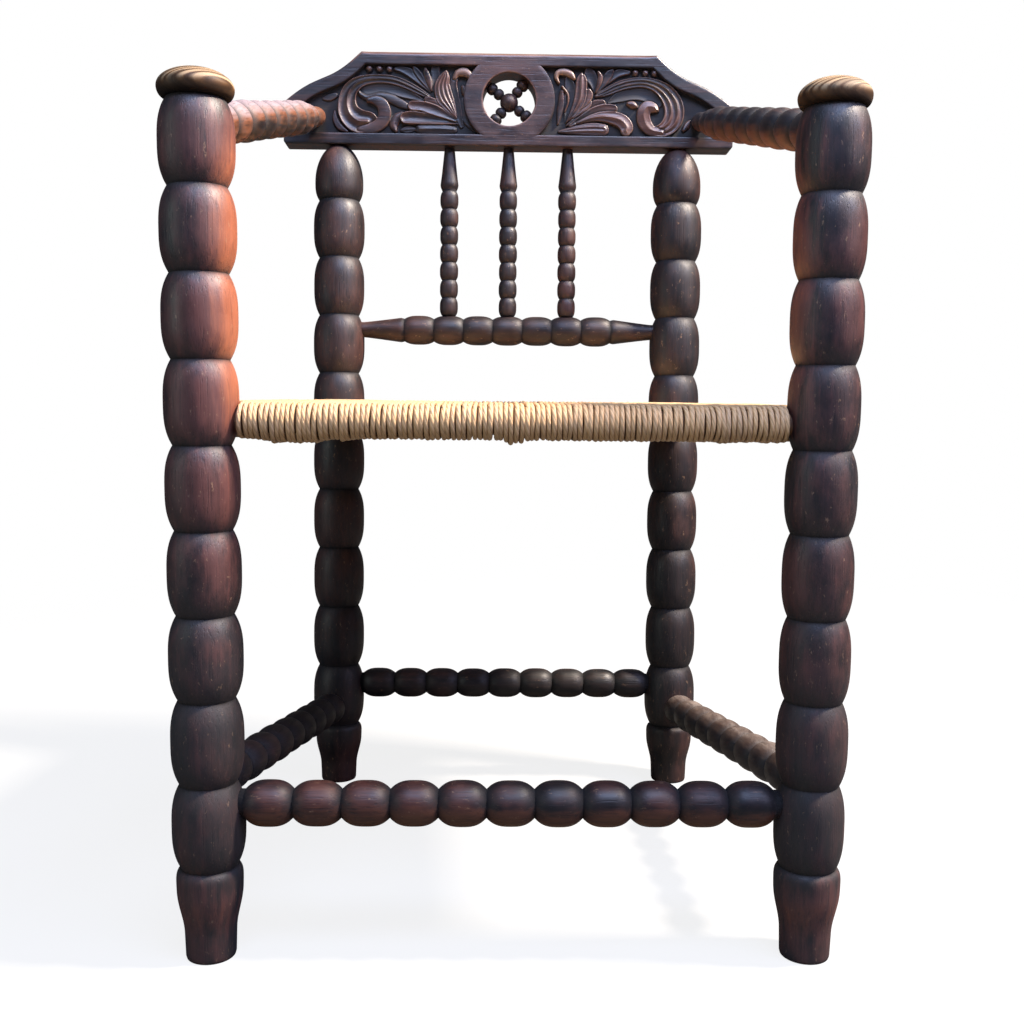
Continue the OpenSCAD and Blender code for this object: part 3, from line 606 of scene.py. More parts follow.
for word, side in SIDES.items():
    rng = np.random.default_rng(80 + side)
    start = front_axis(side, FRONT_H - ARM_DROP)
    end = back_point(side * (CREST_W / 2 - ARM_INSET), BACK_H + ARM_RISE, FLOOR_DEEP)
    span = np.linalg.norm(end - start)
    pitch = (span - COPE_R) / ARM_BEADS
    row_s, row_r = bead_row(ARM_BEADS, pitch, COPE_R, ARM_R, ARM_NECK_R, rng, rows=20, power=ARM_BARREL)
    row_r = row_r * arm_scale((row_s - COPE_R) / (span - COPE_R))
    length = np.repeat(row_s[:, None], ARM_AROUND, 1)
    grid, grain, _ = lathe_grid(start, end, length, row_r, ARM_AROUND, np.random.default_rng(84 + side))
    axis = (end - start) / span
    # Slide the first bead's rows so that the first one lies on the post
    edge = grid[0].copy()
    for _ in range(12):
        away = np.hypot(edge[:, 0] - start[0], edge[:, 1] - start[1])
        edge += (post_reach(word, edge[:, 2]) - POST_BITE - away)[:, None] * axis
    slide = (edge - grid[0]) @ axis
    share = np.clip(1 - (row_s - COPE_R) / pitch, 0, 1)
    grid += (share[:, None] * slide)[..., None] * axis
    # Slide the last bead's rows so that the last one lies in the carved board
    gap = FLOOR_DEEP + BOARD_BITE - (grid[-1] - back_point(0, BACK_H)) @ DEEP
    share = np.clip(1 - (row_s[-1] - row_s) / pitch, 0, 1)
    grid += (share[:, None] * gap / (axis @ DEEP))[..., None] * axis
    fields = stick_fields(row_s, groove_places(ARM_BEADS, pitch, COPE_R), ARM_SHADED_GROOVE_WIDTH, ARM_AROUND)
    fields["wear"] = arm_wear_and_sheen(grid, word)
    # Painted shade deepens the dark of the arm's grooves
    fields["groove"] = np.clip(ARM_GROOVE_SHADE * fields["groove"], 0, 1)
    pieces["arm_" + word] = tube_object("turned_arm_" + word, grid, {"grain": grain, **fields})
print("arms made")

# %% [markdown]
# ## The crest rail's board
# The board is a plank with sloping shoulders, a round hole, and two sunk fields
# with flat borders round them. It could be cut with Booleans, but those leave
# hard edges. Here each half is two sheets of points: one runs from the middle of
# the sunk field over its wall and across the border to the outline and the hole,
# and the other from the outline round the back and through the hole. Extra rows
# at each edge round it off the way long use does.

# %% Outline of the board
CREST_TOP_W, CREST_END_H, CORNER_R, SWING, HOLLOW = 340.0, 46.0, 3.0, 3.4, 1.2
BORDER_TOP, BORDER_LOW, BORDER_END = 14.0, 12.0, 12.0
RING_R, HOLE_R, RING_H = 52.0, 30.4, 53.0
SLOPE = (CREST_H - CREST_END_H) / (CREST_W - CREST_TOP_W) * 2
SHOULDER_INSET = BORDER_TOP * math.sqrt(1 + SLOPE * SLOPE)
FIELD_END = CREST_W / 2 - BORDER_END
FIELD_TOP = CREST_H - BORDER_TOP


def straight(a, b, count):
    """Points from a towards b, without b."""
    t = np.arange(count)[:, None] / count
    return np.asarray(a, float) * (1 - t) + np.asarray(b, float) * t


def shoulder(a, b, count):
    """The straight line from a to b plus a full sine wave and half a sine wave downwards."""
    t = np.arange(count) / count
    line = straight(a, b, count)
    line[:, 1] += SWING * np.sin(2 * np.pi * t) - HOLLOW * np.sin(np.pi * t)
    return line


def arc(radius, a, b, count):
    """Points on a circle about the ring's middle from angle a to angle b."""
    angle = np.radians(np.linspace(a, b, count))
    return np.stack([radius * np.cos(angle), RING_H + radius * np.sin(angle)], 1)


low_angle = math.degrees(math.asin((BORDER_LOW - RING_H) / RING_R))
high_angle = math.degrees(math.asin((FIELD_TOP - RING_H) / RING_R))
field_corner = [CREST_W / 2 - (FIELD_TOP - CREST_END_H + SHOULDER_INSET) / SLOPE, FIELD_TOP]
field_end_top = [FIELD_END, CREST_END_H + SLOPE * BORDER_END - SHOULDER_INSET]
field_low = [RING_R * math.cos(math.radians(low_angle)), BORDER_LOW]
field_high = [RING_R * math.cos(math.radians(high_angle)), FIELD_TOP]
N_LOW, N_CORNER, N_END, N_SHOULDER, N_TOP, N_LINE = 90, 8, 20, 60, 70, 12
N_OUT = N_LOW + N_CORNER + N_END + N_SHOULDER + N_TOP
field_loop = np.vstack([
    straight(field_low, [FIELD_END - 2, BORDER_LOW], N_LOW),
    straight([FIELD_END - 2, BORDER_LOW], [FIELD_END, BORDER_LOW + 2], N_CORNER),
    straight([FIELD_END, BORDER_LOW + 2], field_end_top, N_END),
    shoulder(field_end_top, field_corner, N_SHOULDER),
    straight(field_corner, field_high, N_TOP),
    arc(RING_R, high_angle, low_angle, N_OUT + 2 * N_LINE + 1)[:-1],
])
corner_angle = np.radians(-90 + 90 * np.arange(N_CORNER) / N_CORNER)
outline = np.vstack([
    straight([0, 0], [CREST_W / 2 - CORNER_R, 0], N_LOW),
    np.stack([CREST_W / 2 - CORNER_R + CORNER_R * np.cos(corner_angle),
              CORNER_R + CORNER_R * np.sin(corner_angle)], 1),
    straight([CREST_W / 2, CORNER_R], [CREST_W / 2, CREST_END_H], N_END),
    shoulder([CREST_W / 2, CREST_END_H], [CREST_TOP_W / 2, CREST_H], N_SHOULDER),
    straight([CREST_TOP_W / 2, CREST_H], [0, CREST_H], N_TOP),
    [[0, CREST_H]],
])
hole = arc(HOLE_R, 90, -90, N_OUT + 1)
print("points round each sunk field:", len(field_loop), "and along half the outline:", len(outline))

# %% Worn edges of the board
# Width of the rounding at the top and at the bottom, its depth as a share of that, and the
# rounding of the hole
CHAMFER_TOP, CHAMFER_LOW, CHAMFER_DEEP, HOLE_CHAMFER = 4.4, 1.0, 0.72, 0.9
FRONT, BACK = -CREST_T / 2, CREST_T / 2


def inward(loop):
    """Unit vectors at right angles to a path, on its left, from each point's neighbours."""
    ahead = np.roll(loop, -1, 0) - np.roll(loop, 1, 0)
    ahead /= np.linalg.norm(ahead, axis=1)[:, None]
    return np.stack([-ahead[:, 1], ahead[:, 0]], 1)


outline_out = -inward(outline)
outline_out[0], outline_out[-1] = [0, -1], [0, 1]
# Smooth steps over 14 points from the end's top, and over 10 round the upper corner
station = np.arange(N_OUT + 1)
on_top = eased((station - N_LOW - N_CORNER - N_END) / 14)
on_crown = eased((station - N_OUT + N_TOP + 4) / 10)
# The width also varies by up to a tenth, by the mean of five random values that lie together
nibble = np.random.default_rng(99).uniform(-1, 1, N_OUT + 1)
nibble = np.convolve(np.pad(nibble, 2, mode="edge"), np.ones(5) / 5, "valid")
# The wear is widest on the top edge, narrower on the shoulders and thin along the bottom
chamfer = CHAMFER_LOW + (CHAMFER_TOP - CHAMFER_LOW) * (0.45 * on_top + 0.55 * on_crown)
chamfer = (chamfer * (1 + 0.1 * nibble))[:, None]
outline_rim = outline - chamfer * outline_out
hole_out = (hole - [0, RING_H]) / HOLE_R
hole_rim = hole + HOLE_CHAMFER * hole_out
rim_loop = np.vstack([
    outline_rim,
    straight(outline_rim[-1], hole_rim[0], N_LINE)[1:],
    hole_rim,
    straight(hole_rim[-1], outline_rim[0], N_LINE)[1:],
])
print("chamfer", float(chamfer.min()), "to", float(chamfer.max()), "mm")

# %% Sheets of the board
FIELD_DEEP, FIELD_MIDDLE = 7.4, np.array([[140.0, 50.0]])
# Where the board lay in its tree, as metres of grain place
BOARD_GRAIN = [3.1, 1.7, 0.4]


def on_board(flat, deep, side=1):
    """Places drawing points (x, height) at a depth behind the board's middle."""
    deep = np.asarray(deep, float) + np.zeros(flat.shape[:-1])
    return (np.array([0, BACK_Y, 0]) + flat[..., :1] * np.array([side, 0, 0])
            + (BACK_H + flat[..., 1:]) * UP_BACK + deep[..., None] * DEEP)


def board_sheets(side):
    """The first sheet is the field's loop moved inwards and down its wall, then mixes of that
    loop and the outer rim. The second is the outline round its worn edge to the back, then
    mixes of outline and hole, then the hole's wall. Each row is one such loop."""
    wall = inward(field_loop)
    steps = [(1.2, FIELD_DEEP), (1.0, 6.6), (0.5, 1.2), (0.3, 0.5), (0.1, 0.15), (-0.3, 0.0)]
    sheet = [on_board(field_loop + a * wall, FRONT + d, side) for a, d in steps]
    sheet += [on_board(field_loop * (1 - m) + rim_loop * m, FRONT, side)
              for m in (0.15, 0.4, 0.7, 0.9, 1)]
    curve = [(1, 0), (0.62, 0.12), (0.3, 0.38), (0.08, 0.7), (0, 1)]
    skin = [on_board(outline - a * chamfer * outline_out,
                     FRONT + b * CHAMFER_DEEP * chamfer[:, 0], side) for a, b in curve]
    skin += [on_board(outline, FRONT + CREST_T * s, side) for s in (0.25, 0.6, 0.93)]
    skin += [on_board(outline - a * outline_out, BACK - b, side) for a, b in
             [(0.0, 1.8), (0.3, 0.8), (0.8, 0.3), (1.8, 0.0)]]
    ring = hole[::-1]
    ring_out = hole_out[::-1]
    near, far = outline - 1.8 * outline_out, ring + 1.3 * ring_out
    skin += [on_board(near * (1 - m) + far * m, BACK, side) for m in (0.25, 0.5, 0.75, 1.0)]
    skin += [on_board(ring + a * ring_out, BACK - b, side) for a, b in [(0.4, 0.4), (0.0, 1.3)]]
    skin += [on_board(ring, BACK - CREST_T * s, side) for s in (0.3, 0.6, 0.9)]
    skin += [on_board(ring + a * HOLE_CHAMFER * ring_out, FRONT + b * HOLE_CHAMFER, side)
             for a, b in curve[::-1]]
    return np.stack(sheet), np.stack(skin)


print("rows of the two sheets:", [len(sheet) for sheet in board_sheets(1)])

# %% Board
points, faces, count = [], [], 0
for side in (1, -1):
    sheet, skin = board_sheets(side)
    loop = len(field_loop)
    centre = on_board(FIELD_MIDDLE, FRONT + FIELD_DEEP, side)
    near = count + np.arange(loop)
    fan = np.stack([np.full(loop, count + len(sheet) * loop), np.roll(near, -1), near], -1)
    quads = grid_faces(len(sheet), loop, True, count)
    points += [sheet.reshape(-1, 3), centre]
    count += len(sheet) * loop + 1
    strip = grid_faces(len(skin), N_OUT + 1, False, count)
    points.append(skin.reshape(-1, 3))
    count += skin.shape[0] * skin.shape[1]
    faces += [part if side < 0 else part[:, ::-1] for part in (quads, fan, strip)]
points = np.vstack(points)
# Points that the sheets and the halves share become one point
_, first, same = np.unique(np.round(points, 3), axis=0, return_index=True, return_inverse=True)
points, same = points[first], same.ravel()
faces = [same[part] for part in faces]
flat = points - back_point(0, BACK_H)
across, up, deep = flat[:, 0], flat @ UP_BACK, flat @ DEEP - FRONT
# Dark: the walls and the floor of the sunk fields
sunk = np.clip((deep - 0.5) / 2, 0, 1) * (np.hypot(across, up - RING_H) > HOLE_R + 2) * (deep < 8)
inside = (up > 11) & (up < CREST_H - 13) & (np.abs(across) < FIELD_END + 1)
# Worn and painted with a highlight: the upper edges and the rim of the hole; worn: the
# underside; warm: the middle as well
rubbed = np.where((deep > 0.2) & (deep < 4) & (up > 40), 1.0, 0.0) * ~inside
rim = np.exp(-((np.hypot(across, up - RING_H) - HOLE_R - 0.8) / 1.0) ** 2) * (deep < 2)
middle = np.clip(1.15 - np.abs(across) / 110, 0, 1)
underneath = (up < 0.6) & (deep > 2)
pieces["crest_rail"] = make_object("carved_board", points, faces, {
    "grain": np.stack([deep, up, across], 1) * MM + BOARD_GRAIN,
    "warm": np.maximum(middle, underneath), "groove": sunk * inside,
    "wear": np.clip(0.5 * rubbed + 0.45 * rim + 0.15 * underneath, 0, 1)}, sharp_degrees=30)
print("board:", len(points), "points")

# %% [markdown]
# ## The carving
# A scroll with acanthus leaves fills each sunk field. A carver draws the leaves on
# the board, lowers the ground round them and then shapes one after another, and
# this part works in the same order. Each leaf or scroll is a stroke: a curve with
# a half-width at each of its points. The distance from a point of the grid to the
# curve tells whether the point lies on the stroke and how high it stands. Digital
# sculpting gives freer shapes, but a stroke is a few numbers that are quick to
# change. The strokes were drawn on a sketch whose steps are 0.15 mm.

# %% Strokes
SKETCH_ACROSS, SKETCH_DOWN, WIDEN = 0.1544, 0.1488, 1.12
SKETCH_START = {"left": (-232.7, 106.6), "right": (-7.8, 107.9)}
BEAD_PLACES = {"left": [(463, 137), (537, 137), (612, 138)],
               "right": [(993, 150), (1067, 150), (1135, 152)]}
# Each stroke: lift at its start and its end in mm, how much it falls to its edges,
# depth and number of its flutes, warmth of its colour, and its points on the
# sketch with their half-widths
STROKES = {"left": {
    "end_triangle": (2.4, 3.2, 0.3, 0.8, 1, 0.1, [(120, 368, 8), (165, 358, 22), (208, 342, 18)]),
    "end_leaf": (3.4, 4.6, 0.2, 0.7, 1, 0.3, [
        (205, 462, 7), (208, 520, 17), (240, 580, 20), (300, 618, 8)]),
    "arch_cove": (2.6, 2.6, 0.0, 1.5, 1, 0.2, [
        (862, 368, 8), (760, 328, 30), (640, 290, 42), (520, 282, 44), (430, 300, 36), (392, 318, 20)]),
    "arch_leaf": (3.0, 4.6, 0.4, 0.6, 1, 0.15, [
        (770, 432, 12), (700, 398, 28), (620, 362, 28), (540, 345, 24), (455, 358, 18), (402, 335, 13),
        (380, 300, 7)]),
    "scroll": (4.4, 6.2, 0.0, 2.3, 2, 0.25, [
        (908, 343, 13), (820, 294, 22), (730, 250, 26), (640, 220, 28), (540, 211, 28), (450, 220, 32),
        (375, 248, 40), (318, 310, 50), (298, 395, 60), (315, 478, 72), (375, 535, 80),
        (450, 545, 70)]),
    "curl": (5.0, 6.2, 0.25, 0.7, 1, 0.2, [
        (395, 603, 20), (480, 592, 34), (548, 552, 40), (578, 482, 43), (562, 415, 40), (512, 380, 30),
        (458, 378, 14)]),
    "spray_low": (2.6, 4.4, 0.1, 1.0, 1, 0.12, [
        (915, 300, 7), (850, 236, 20), (780, 172, 30), (705, 140, 22), (655, 136, 10)]),
    "spray_mid": (3.0, 5.0, 0.1, 0.9, 1, 0.3, [
        (912, 288, 7), (860, 215, 19), (818, 158, 20), (795, 124, 9)]),
    "spray_high": (4.0, 5.8, 0.3, 0.6, 1, 0.5, [
        (925, 292, 7), (912, 228, 20), (888, 168, 20), (880, 133, 9)]),
    "dark_leaf": (2.4, 3.6, 0.1, 1.0, 1, 0.0, [
        (946, 292, 10), (960, 215, 26), (952, 150, 30), (960, 112, 26)]),
    "low_lobe": (3.4, 5.0, 0.4, 0.6, 2, 0.1, [
        (1095, 592, 22), (990, 588, 36), (890, 590, 38), (838, 592, 29)]),
    "root": (3.4, 4.2, 0.5, 0.2, 1, 0.4, [
        (706, 474, 16), (666, 510, 31), (645, 558, 29), (660, 606, 13)]),
    "rootlet": (2.2, 3.0, 0.2, 0.9, 2, 0.2, [(805, 590, 9), (750, 594, 23), (704, 602, 10)]),
    "leaf_low": (4.0, 6.2, 0.0, 2.4, 1, 0.3, [
        (1122, 536, 12), (1000, 522, 28), (880, 512, 38), (785, 506, 44), (736, 510, 40)]),
    "leaf_top": (3.6, 5.2, 0.1, 0.9, 1, 0.4, [
        (1092, 502, 12), (1000, 432, 36), (930, 388, 33), (893, 366, 20)]),
    "leaf_mid": (4.2, 5.8, 0.05, 1.5, 1, 0.35, [
        (1105, 520, 12), (980, 458, 34), (860, 420, 35), (786, 416, 33)]),
    "ring_leaf": (2.0, 3.0, 0.2, 0.7, 1, 0.0, [
        (1260, 606, 8), (1196, 520, 28), (1168, 430, 26), (1160, 362, 16)]),
    "hook": (2.6, 5.0, 0.1, 1.2, 1, 0.05, [
        (1150, 562, 14), (1122, 450, 28), (1100, 340, 30), (1090, 250, 25), (1104, 186, 20)]),
    "hook_knob": (5.4, 6.3, 0.3, 0.2, 1, 0.95, [
        (1098, 200, 13), (1124, 162, 24), (1176, 156, 30), (1224, 192, 17)]),
    "small_knob": (4.2, 4.6, 0.5, 0.0, 1, 0.45, [(1160, 262, 11), (1172, 300, 20), (1181, 336, 11)]),
    "upright_leaf": (4.4, 6.3, 0.12, 1.1, 4, 0.6, [
        (1113, 504, 5), (1072, 430, 33), (1022, 345, 56), (1006, 262, 50), (1026, 192, 31),
        (1036, 152, 9)]),
}, "right": {
    "end_leaf": (3.2, 4.0, 0.4, 0.4, 1, 0.4, [(1408, 512, 8), (1388, 545, 20), (1362, 582, 12)]),
    "arch_cove": (1.6, 1.6, 0.0, 1.0, 1, 0.05, [
        (800, 372, 10), (880, 330, 36), (990, 305, 42), (1090, 322, 42), (1160, 372, 36)]),
    "bud": (3.6, 4.2, 0.5, 0.0, 1, 0.55, [(942, 384, 13), (974, 390, 24), (1002, 404, 13)]),
    "scroll": (4.2, 6.2, 0.0, 1.9, 3, 0.3, [
        (700, 330, 9), (770, 300, 24), (860, 256, 31), (950, 229, 33), (1050, 219, 34), (1140, 240, 40),
        (1215, 288, 52), (1270, 362, 62), (1290, 448, 66), (1268, 528, 62), (1214, 580, 48),
        (1150, 596, 34)]),
    "curl": (4.8, 6.3, 0.3, 0.5, 2, 0.45, [
        (1196, 604, 20), (1118, 588, 36), (1070, 532, 45), (1058, 462, 46), (1084, 412, 42),
        (1130, 414, 32), (1160, 436, 13)]),
    "spray_low": (3.0, 5.0, 0.1, 0.9, 1, 0.2, [
        (722, 284, 7), (800, 198, 23), (870, 152, 26), (942, 149, 13)]),
    "spray_high": (3.2, 5.2, 0.2, 0.8, 1, 0.25, [
        (706, 306, 7), (745, 240, 22), (790, 172, 27), (818, 137, 13)]),
    "second_leaf": (2.4, 4.4, 0.05, 1.2, 1, 0.1, [
        (692, 302, 7), (682, 236, 28), (656, 176, 40), (644, 142, 26)]),
    "second_tip": (4.0, 5.8, 0.3, 0.3, 1, 0.5, [
        (698, 300, 6), (722, 236, 15), (731, 182, 17), (716, 148, 9)]),
    "low_lobe": (3.0, 5.4, 0.25, 0.8, 3, 0.4, [
        (425, 606, 8), (560, 590, 31), (680, 583, 42), (757, 588, 38)]),
    "leaf_top": (3.6, 5.4, 0.1, 1.0, 1, 0.25, [
        (482, 556, 5), (600, 470, 27), (690, 406, 35), (744, 388, 27)]),
    "leaf_mid": (4.0, 5.6, 0.1, 1.3, 1, 0.25, [
        (505, 560, 7), (660, 470, 34), (770, 431, 35), (832, 426, 27)]),
    "leaf_low": (4.0, 6.3, 0.25, 0.9, 2, 0.5, [
        (560, 538, 7), (700, 492, 26), (808, 492, 40), (888, 516, 48), (930, 564, 46), (926, 598, 34)]),
    "ring_leaf": (2.8, 4.4, 0.45, 0.2, 1, 0.35, [
        (416, 545, 7), (431, 452, 22), (445, 370, 24), (444, 300, 14)]),
    "hollow_leaf": (2.2, 3.4, 0.0, 1.6, 1, 0.0, [
        (472, 530, 6), (502, 420, 34), (512, 320, 40), (500, 240, 32), (488, 205, 18)]),
    "stem": (3.8, 5.0, 0.3, 0.0, 1, 0.5, [(468, 452, 5), (490, 384, 7), (487, 320, 8), (446, 262, 8)]),
    "hook_knob": (5.2, 6.3, 0.3, 0.2, 1, 0.95, [
        (420, 232, 9), (402, 194, 14), (414, 158, 20), (460, 149, 24), (508, 168, 22), (534, 200, 11)]),
    "upright_low": (4.4, 5.2, 0.15, 0.8, 1, 0.5, [
        (530, 500, 5), (585, 440, 24), (632, 402, 26), (655, 372, 12)]),
    "upright_mid": (4.6, 5.8, 0.15, 0.8, 1, 0.5, [
        (560, 440, 10), (610, 370, 34), (640, 325, 33), (646, 290, 14)]),
    "upright_leaf": (4.2, 6.3, 0.1, 1.2, 2, 0.45, [
        (480, 532, 5), (540, 445, 26), (578, 360, 38), (588, 285, 38), (590, 220, 36), (590, 172, 14)]),
}}


print("strokes:", {word: len(strokes) for word, strokes in STROKES.items()})


# %% Shaping one stroke
def along_curve(controls, per_span=10):
    """A smooth curve through points with half-widths: each span is a cubic whose ends lean
    along the line between the neighbouring points."""
    p = np.vstack([2 * controls[0] - controls[1], controls, 2 * controls[-1] - controls[-2]])
    t = (np.arange(per_span) / per_span)[:, None, None]
    a, b, c, d = p[:-3], p[1:-2], p[2:-1], p[3:]
    spans = 0.5 * (2 * b + (c - a) * t + (2 * a - 5 * b + 4 * c - d) * t ** 2
                   + (3 * b - a - 3 * c + d) * t ** 3)
    return np.vstack([spans.transpose(1, 0, 2).reshape(-1, 3), controls[-1:]])


def smooth_step(edge_a, edge_b, value):
    """0 before edge_a and 1 after edge_b, and 3 t squared minus 2 t cubed between them."""
    t = np.clip((value - edge_a) / (edge_b - edge_a), 0, 1)
    return t * t * (3 - 2 * t)


# Depth scale and roundness of the flutes, width and depth in mm of the cut beside a stroke,
# and how deep below the ground a cut may go
FLUTE_DEEP, FLUTE_ROUND, CUT_W, CUT_D, CUT_LOWEST = 1.2, 0.85, 0.8, 1.1, -0.3
# The rim of a stroke, worn pale and painted with a highlight: its strength, its distance from
# the edge and its width
RIM_WEAR_AND_HIGHLIGHT, RIM_IN, RIM_W = 0.4, 0.5, 0.42
# A stroke's edge fades over these distances, and its half-width is never under 0.3 mm
EDGE_IN, EDGE_OUT, LEAST_HALF = -0.35, 0.3, 0.3


def carve(places, lift, warm, dark, stroke, start, bare):
    """Shapes one stroke into the lifts of all places. Its height is its lift, less its fall
    times the square of the distance across, less the flutes' sine; beside it a thin cut
    separates it from what lies under it."""
    from_lift, to_lift, fall, flute, count, warmth, sketch = stroke
    controls = np.array(sketch, float) * [SKETCH_ACROSS, -SKETCH_DOWN, WIDEN * SKETCH_ACROSS]
    curve = along_curve(controls + [start[0], start[1], 0])
    reach = curve[:, 2].max() + 3
    low, high = curve[:, :2].min(0) - reach, curve[:, :2].max(0) + reach
    near = np.flatnonzero(np.all((places > low) & (places < high), axis=1))
    a, step = curve[:-1], np.diff(curve, axis=0)
    off = places[near, None] - a[:, :2]
    t = np.clip((off * step[:, :2]).sum(2) / (step[:, :2] ** 2).sum(1), 0, 1)
    away = np.linalg.norm(off - t[..., None] * step[:, :2], axis=2)
    half = np.maximum(a[:, 2] + t * step[:, 2], LEAST_HALF)
    best = (away - half).argmin(1)
    pick = np.arange(len(near)), best
    edge = (away - half)[pick]
    turn = np.sign(step[best, 0] * off[pick][:, 1] - step[best, 1] * off[pick][:, 0])
    across = np.clip(turn * away[pick] / half[pick], -1, 1)
    share = (best + t[pick]) / len(step)
    height = (from_lift + (to_lift - from_lift) * share) * (1 - fall * across ** 2)
    height -= FLUTE_DEEP * flute * np.abs(np.sin(np.pi * count * (across + 1) / 2)) ** FLUTE_ROUND
    inside = 1 - smooth_step(EDGE_IN, EDGE_OUT, edge)
    cut = np.exp(-(edge / CUT_W) ** 2) * (edge > 0)
    lift[near] = np.maximum(lift[near] - CUT_D * cut, CUT_LOWEST) * (1 - inside) + height * inside
    # High wood is paler and low wood darker, and the strokes' rims are worn pale with a painted
    # highlight
    rim = np.exp(-((edge + RIM_IN) / RIM_W) ** 2) * np.clip(height / 5, 0, 1)
    glow = bare * warmth * (0.3 + 0.7 * np.clip(height / 5.5, 0, 1) ** 2) + RIM_WEAR_AND_HIGHLIGHT * rim
    warm[near] = warm[near] * (1 - inside) + glow * inside
    shade = np.clip(0.75 - height / 5, 0, 0.7) * (1 - warmth)
    dark[near] = np.maximum(dark[near], cut) * (1 - inside) + shade * inside


print("a curve through three points gets", len(along_curve(np.eye(3))), "points")

# %% Carved panels
PANEL_STEP, PANEL_ROWS, PANEL_FROM, PANEL_LOW, PANEL_UNDER = 0.5, 166, 33.0, 9.5, 2.2
GROUND_DEEP, GROUND_DARK, PANEL_DEEP, PEARL_R, PEARL_LIFT = 6.6, 0.85, 8.8, 4.1, 0.9
carved = {}
# The left field has kept more of its stain than the right one
BARE = {"left": 0.5, "right": 0.75}
slope_line = shoulder(field_end_top, field_corner, N_SHOULDER)[::-1]
for word, side in SIDES.items():
    x = np.arange(PANEL_FROM, FIELD_END + PANEL_UNDER, PANEL_STEP)
    top = np.interp(x, slope_line[:, 0], slope_line[:, 1], left=FIELD_TOP) + PANEL_UNDER
    share = np.linspace(0, 1, PANEL_ROWS)[:, None]
    height = PANEL_LOW + share * (top - PANEL_LOW)
    places = np.stack([side * x + 0 * height, height], -1).reshape(-1, 2)
    lift, warm, dark = np.zeros(len(places)), np.zeros(len(places)), np.full(len(places), GROUND_DARK)
    for stroke in STROKES[word].values():
        carve(places, lift, warm, dark, stroke, SKETCH_START[word], BARE[word])
    for across, down in BEAD_PLACES[word]:
        middle = np.array(SKETCH_START[word]) + [across * SKETCH_ACROSS, -down * SKETCH_DOWN]
        away = np.linalg.norm(places - middle, axis=1)
        pearl = PEARL_LIFT + np.sqrt(np.clip(PEARL_R ** 2 - away ** 2, 0, None))
        on = away < PEARL_R
        lift[on] = np.maximum(lift, pearl)[on]
        warm[on], dark[on] = 0.45 * (pearl[on] / 5) ** 2, 0.0
    shape = height.shape
    lift = lift.reshape(shape)
    for _ in range(2):
        # Wear rounds every edge: each point moves to the mean of itself and its neighbours
        inner = (lift[1:-1, 1:-1] * 4 + lift[:-2, 1:-1] + lift[2:, 1:-1]
                 + lift[1:-1, :-2] + lift[1:-1, 2:])
        lift[1:-1, 1:-1] = inner / 8
    flat = places.reshape(*shape, 2) * [side, 1]
    top_sheet = on_board(flat, FRONT + GROUND_DEEP - lift, side)
    rows, cols = shape
    index = np.arange(rows * cols).reshape(shape)
    border = np.concatenate([index[0], index[1:, -1], index[-1, -2::-1], index[-2:0:-1, 0]])
    under = on_board(flat.reshape(-1, 2)[border], FRONT + PANEL_DEEP, side)
    points = np.vstack([top_sheet.reshape(-1, 3), under, under.mean(0)])
    skirt = rows * cols + np.arange(len(border))
    faces = [grid_faces(rows, cols, False),
             np.stack([np.roll(border, -1), border, skirt, np.roll(skirt, -1)], -1),
             np.stack([np.roll(skirt, -1), skirt, np.full(len(skirt), len(points) - 1)], -1)]
    edge_values = np.zeros(len(under) + 1)
    grain = np.vstack([np.stack([-lift, flat[..., 1], side * flat[..., 0]], -1).reshape(-1, 3),
                       np.zeros((len(edge_values), 3))])
    carved[word] = make_object("carved_panel_" + word, points, faces, {
        "grain": grain * MM + BOARD_GRAIN, "wear": np.concatenate([warm, edge_values]),
        "warm": np.concatenate([warm, edge_values]), "groove": np.concatenate([dark, edge_values + 1])})
print("panel faces:", [len(p.data.polygons) for p in carved.values()])

# %% [markdown]
# ## Ball and spokes in the ring
# A small ball stands in the middle of the hole on four turned spokes, each of two
# beads. They are lathe work like the rest, only finer.

# %% Ball and spokes
HUB_R, SPOKE_INNER_R, SPOKE_OUTER_R, SPOKE_NECK_R, SPOKE_TURN = 10.5, 6.3, 7.0, 4.0, 52.0
SPOKE_GAP, SPOKE_TENON, SPOKE_TENON_R = 0.15, 2, SPOKE_NECK_R - 0.6
ring_middle = back_point(0, BACK_H + RING_H)
t = np.linspace(0, np.pi, 26)[1:-1]
pieces["spoke_hub"] = turned(
    "turned_hub", ring_middle, ring_middle - DEEP, -HUB_R * np.cos(t), HUB_R * np.sin(t), 40, [99.0], 90)
SPOKES = ["spoke_upper_right", "spoke_upper_left", "spoke_lower_left", "spoke_lower_right"]
first = HUB_R + SPOKE_GAP
last = math.sqrt(HOLE_R ** 2 - SPOKE_NECK_R ** 2) - SPOKE_GAP
# The groove between the two beads shares the length out as their radii do
groove = first + (last - first) * SPOKE_INNER_R / (SPOKE_INNER_R + SPOKE_OUTER_R)
for k, name in enumerate(SPOKES):
    angle = math.radians(SPOKE_TURN + 90 * k)
    outwards = math.cos(angle) * np.array([1.0, 0, 0]) + math.sin(angle) * UP_BACK
    rng = np.random.default_rng(91 + k)
    inner_s, inner_r = bead_row(1, groove - first, first, SPOKE_INNER_R, SPOKE_NECK_R, rng, rows=14)
    outer_s, outer_r = bead_row(1, last - groove, groove, SPOKE_OUTER_R, SPOKE_NECK_R, rng, rows=14)
    pieces[name] = turned(
        "turned_" + name, ring_middle, ring_middle + outwards,
        np.concatenate([[HUB_R - SPOKE_TENON], inner_s, outer_s[1:], [HOLE_R + SPOKE_TENON]]),
        np.concatenate([[SPOKE_TENON_R], inner_r, outer_r[1:], [SPOKE_TENON_R]]),
        36, [first, groove, last], 95 + k, groove_width=0.9)
print("spokes made")

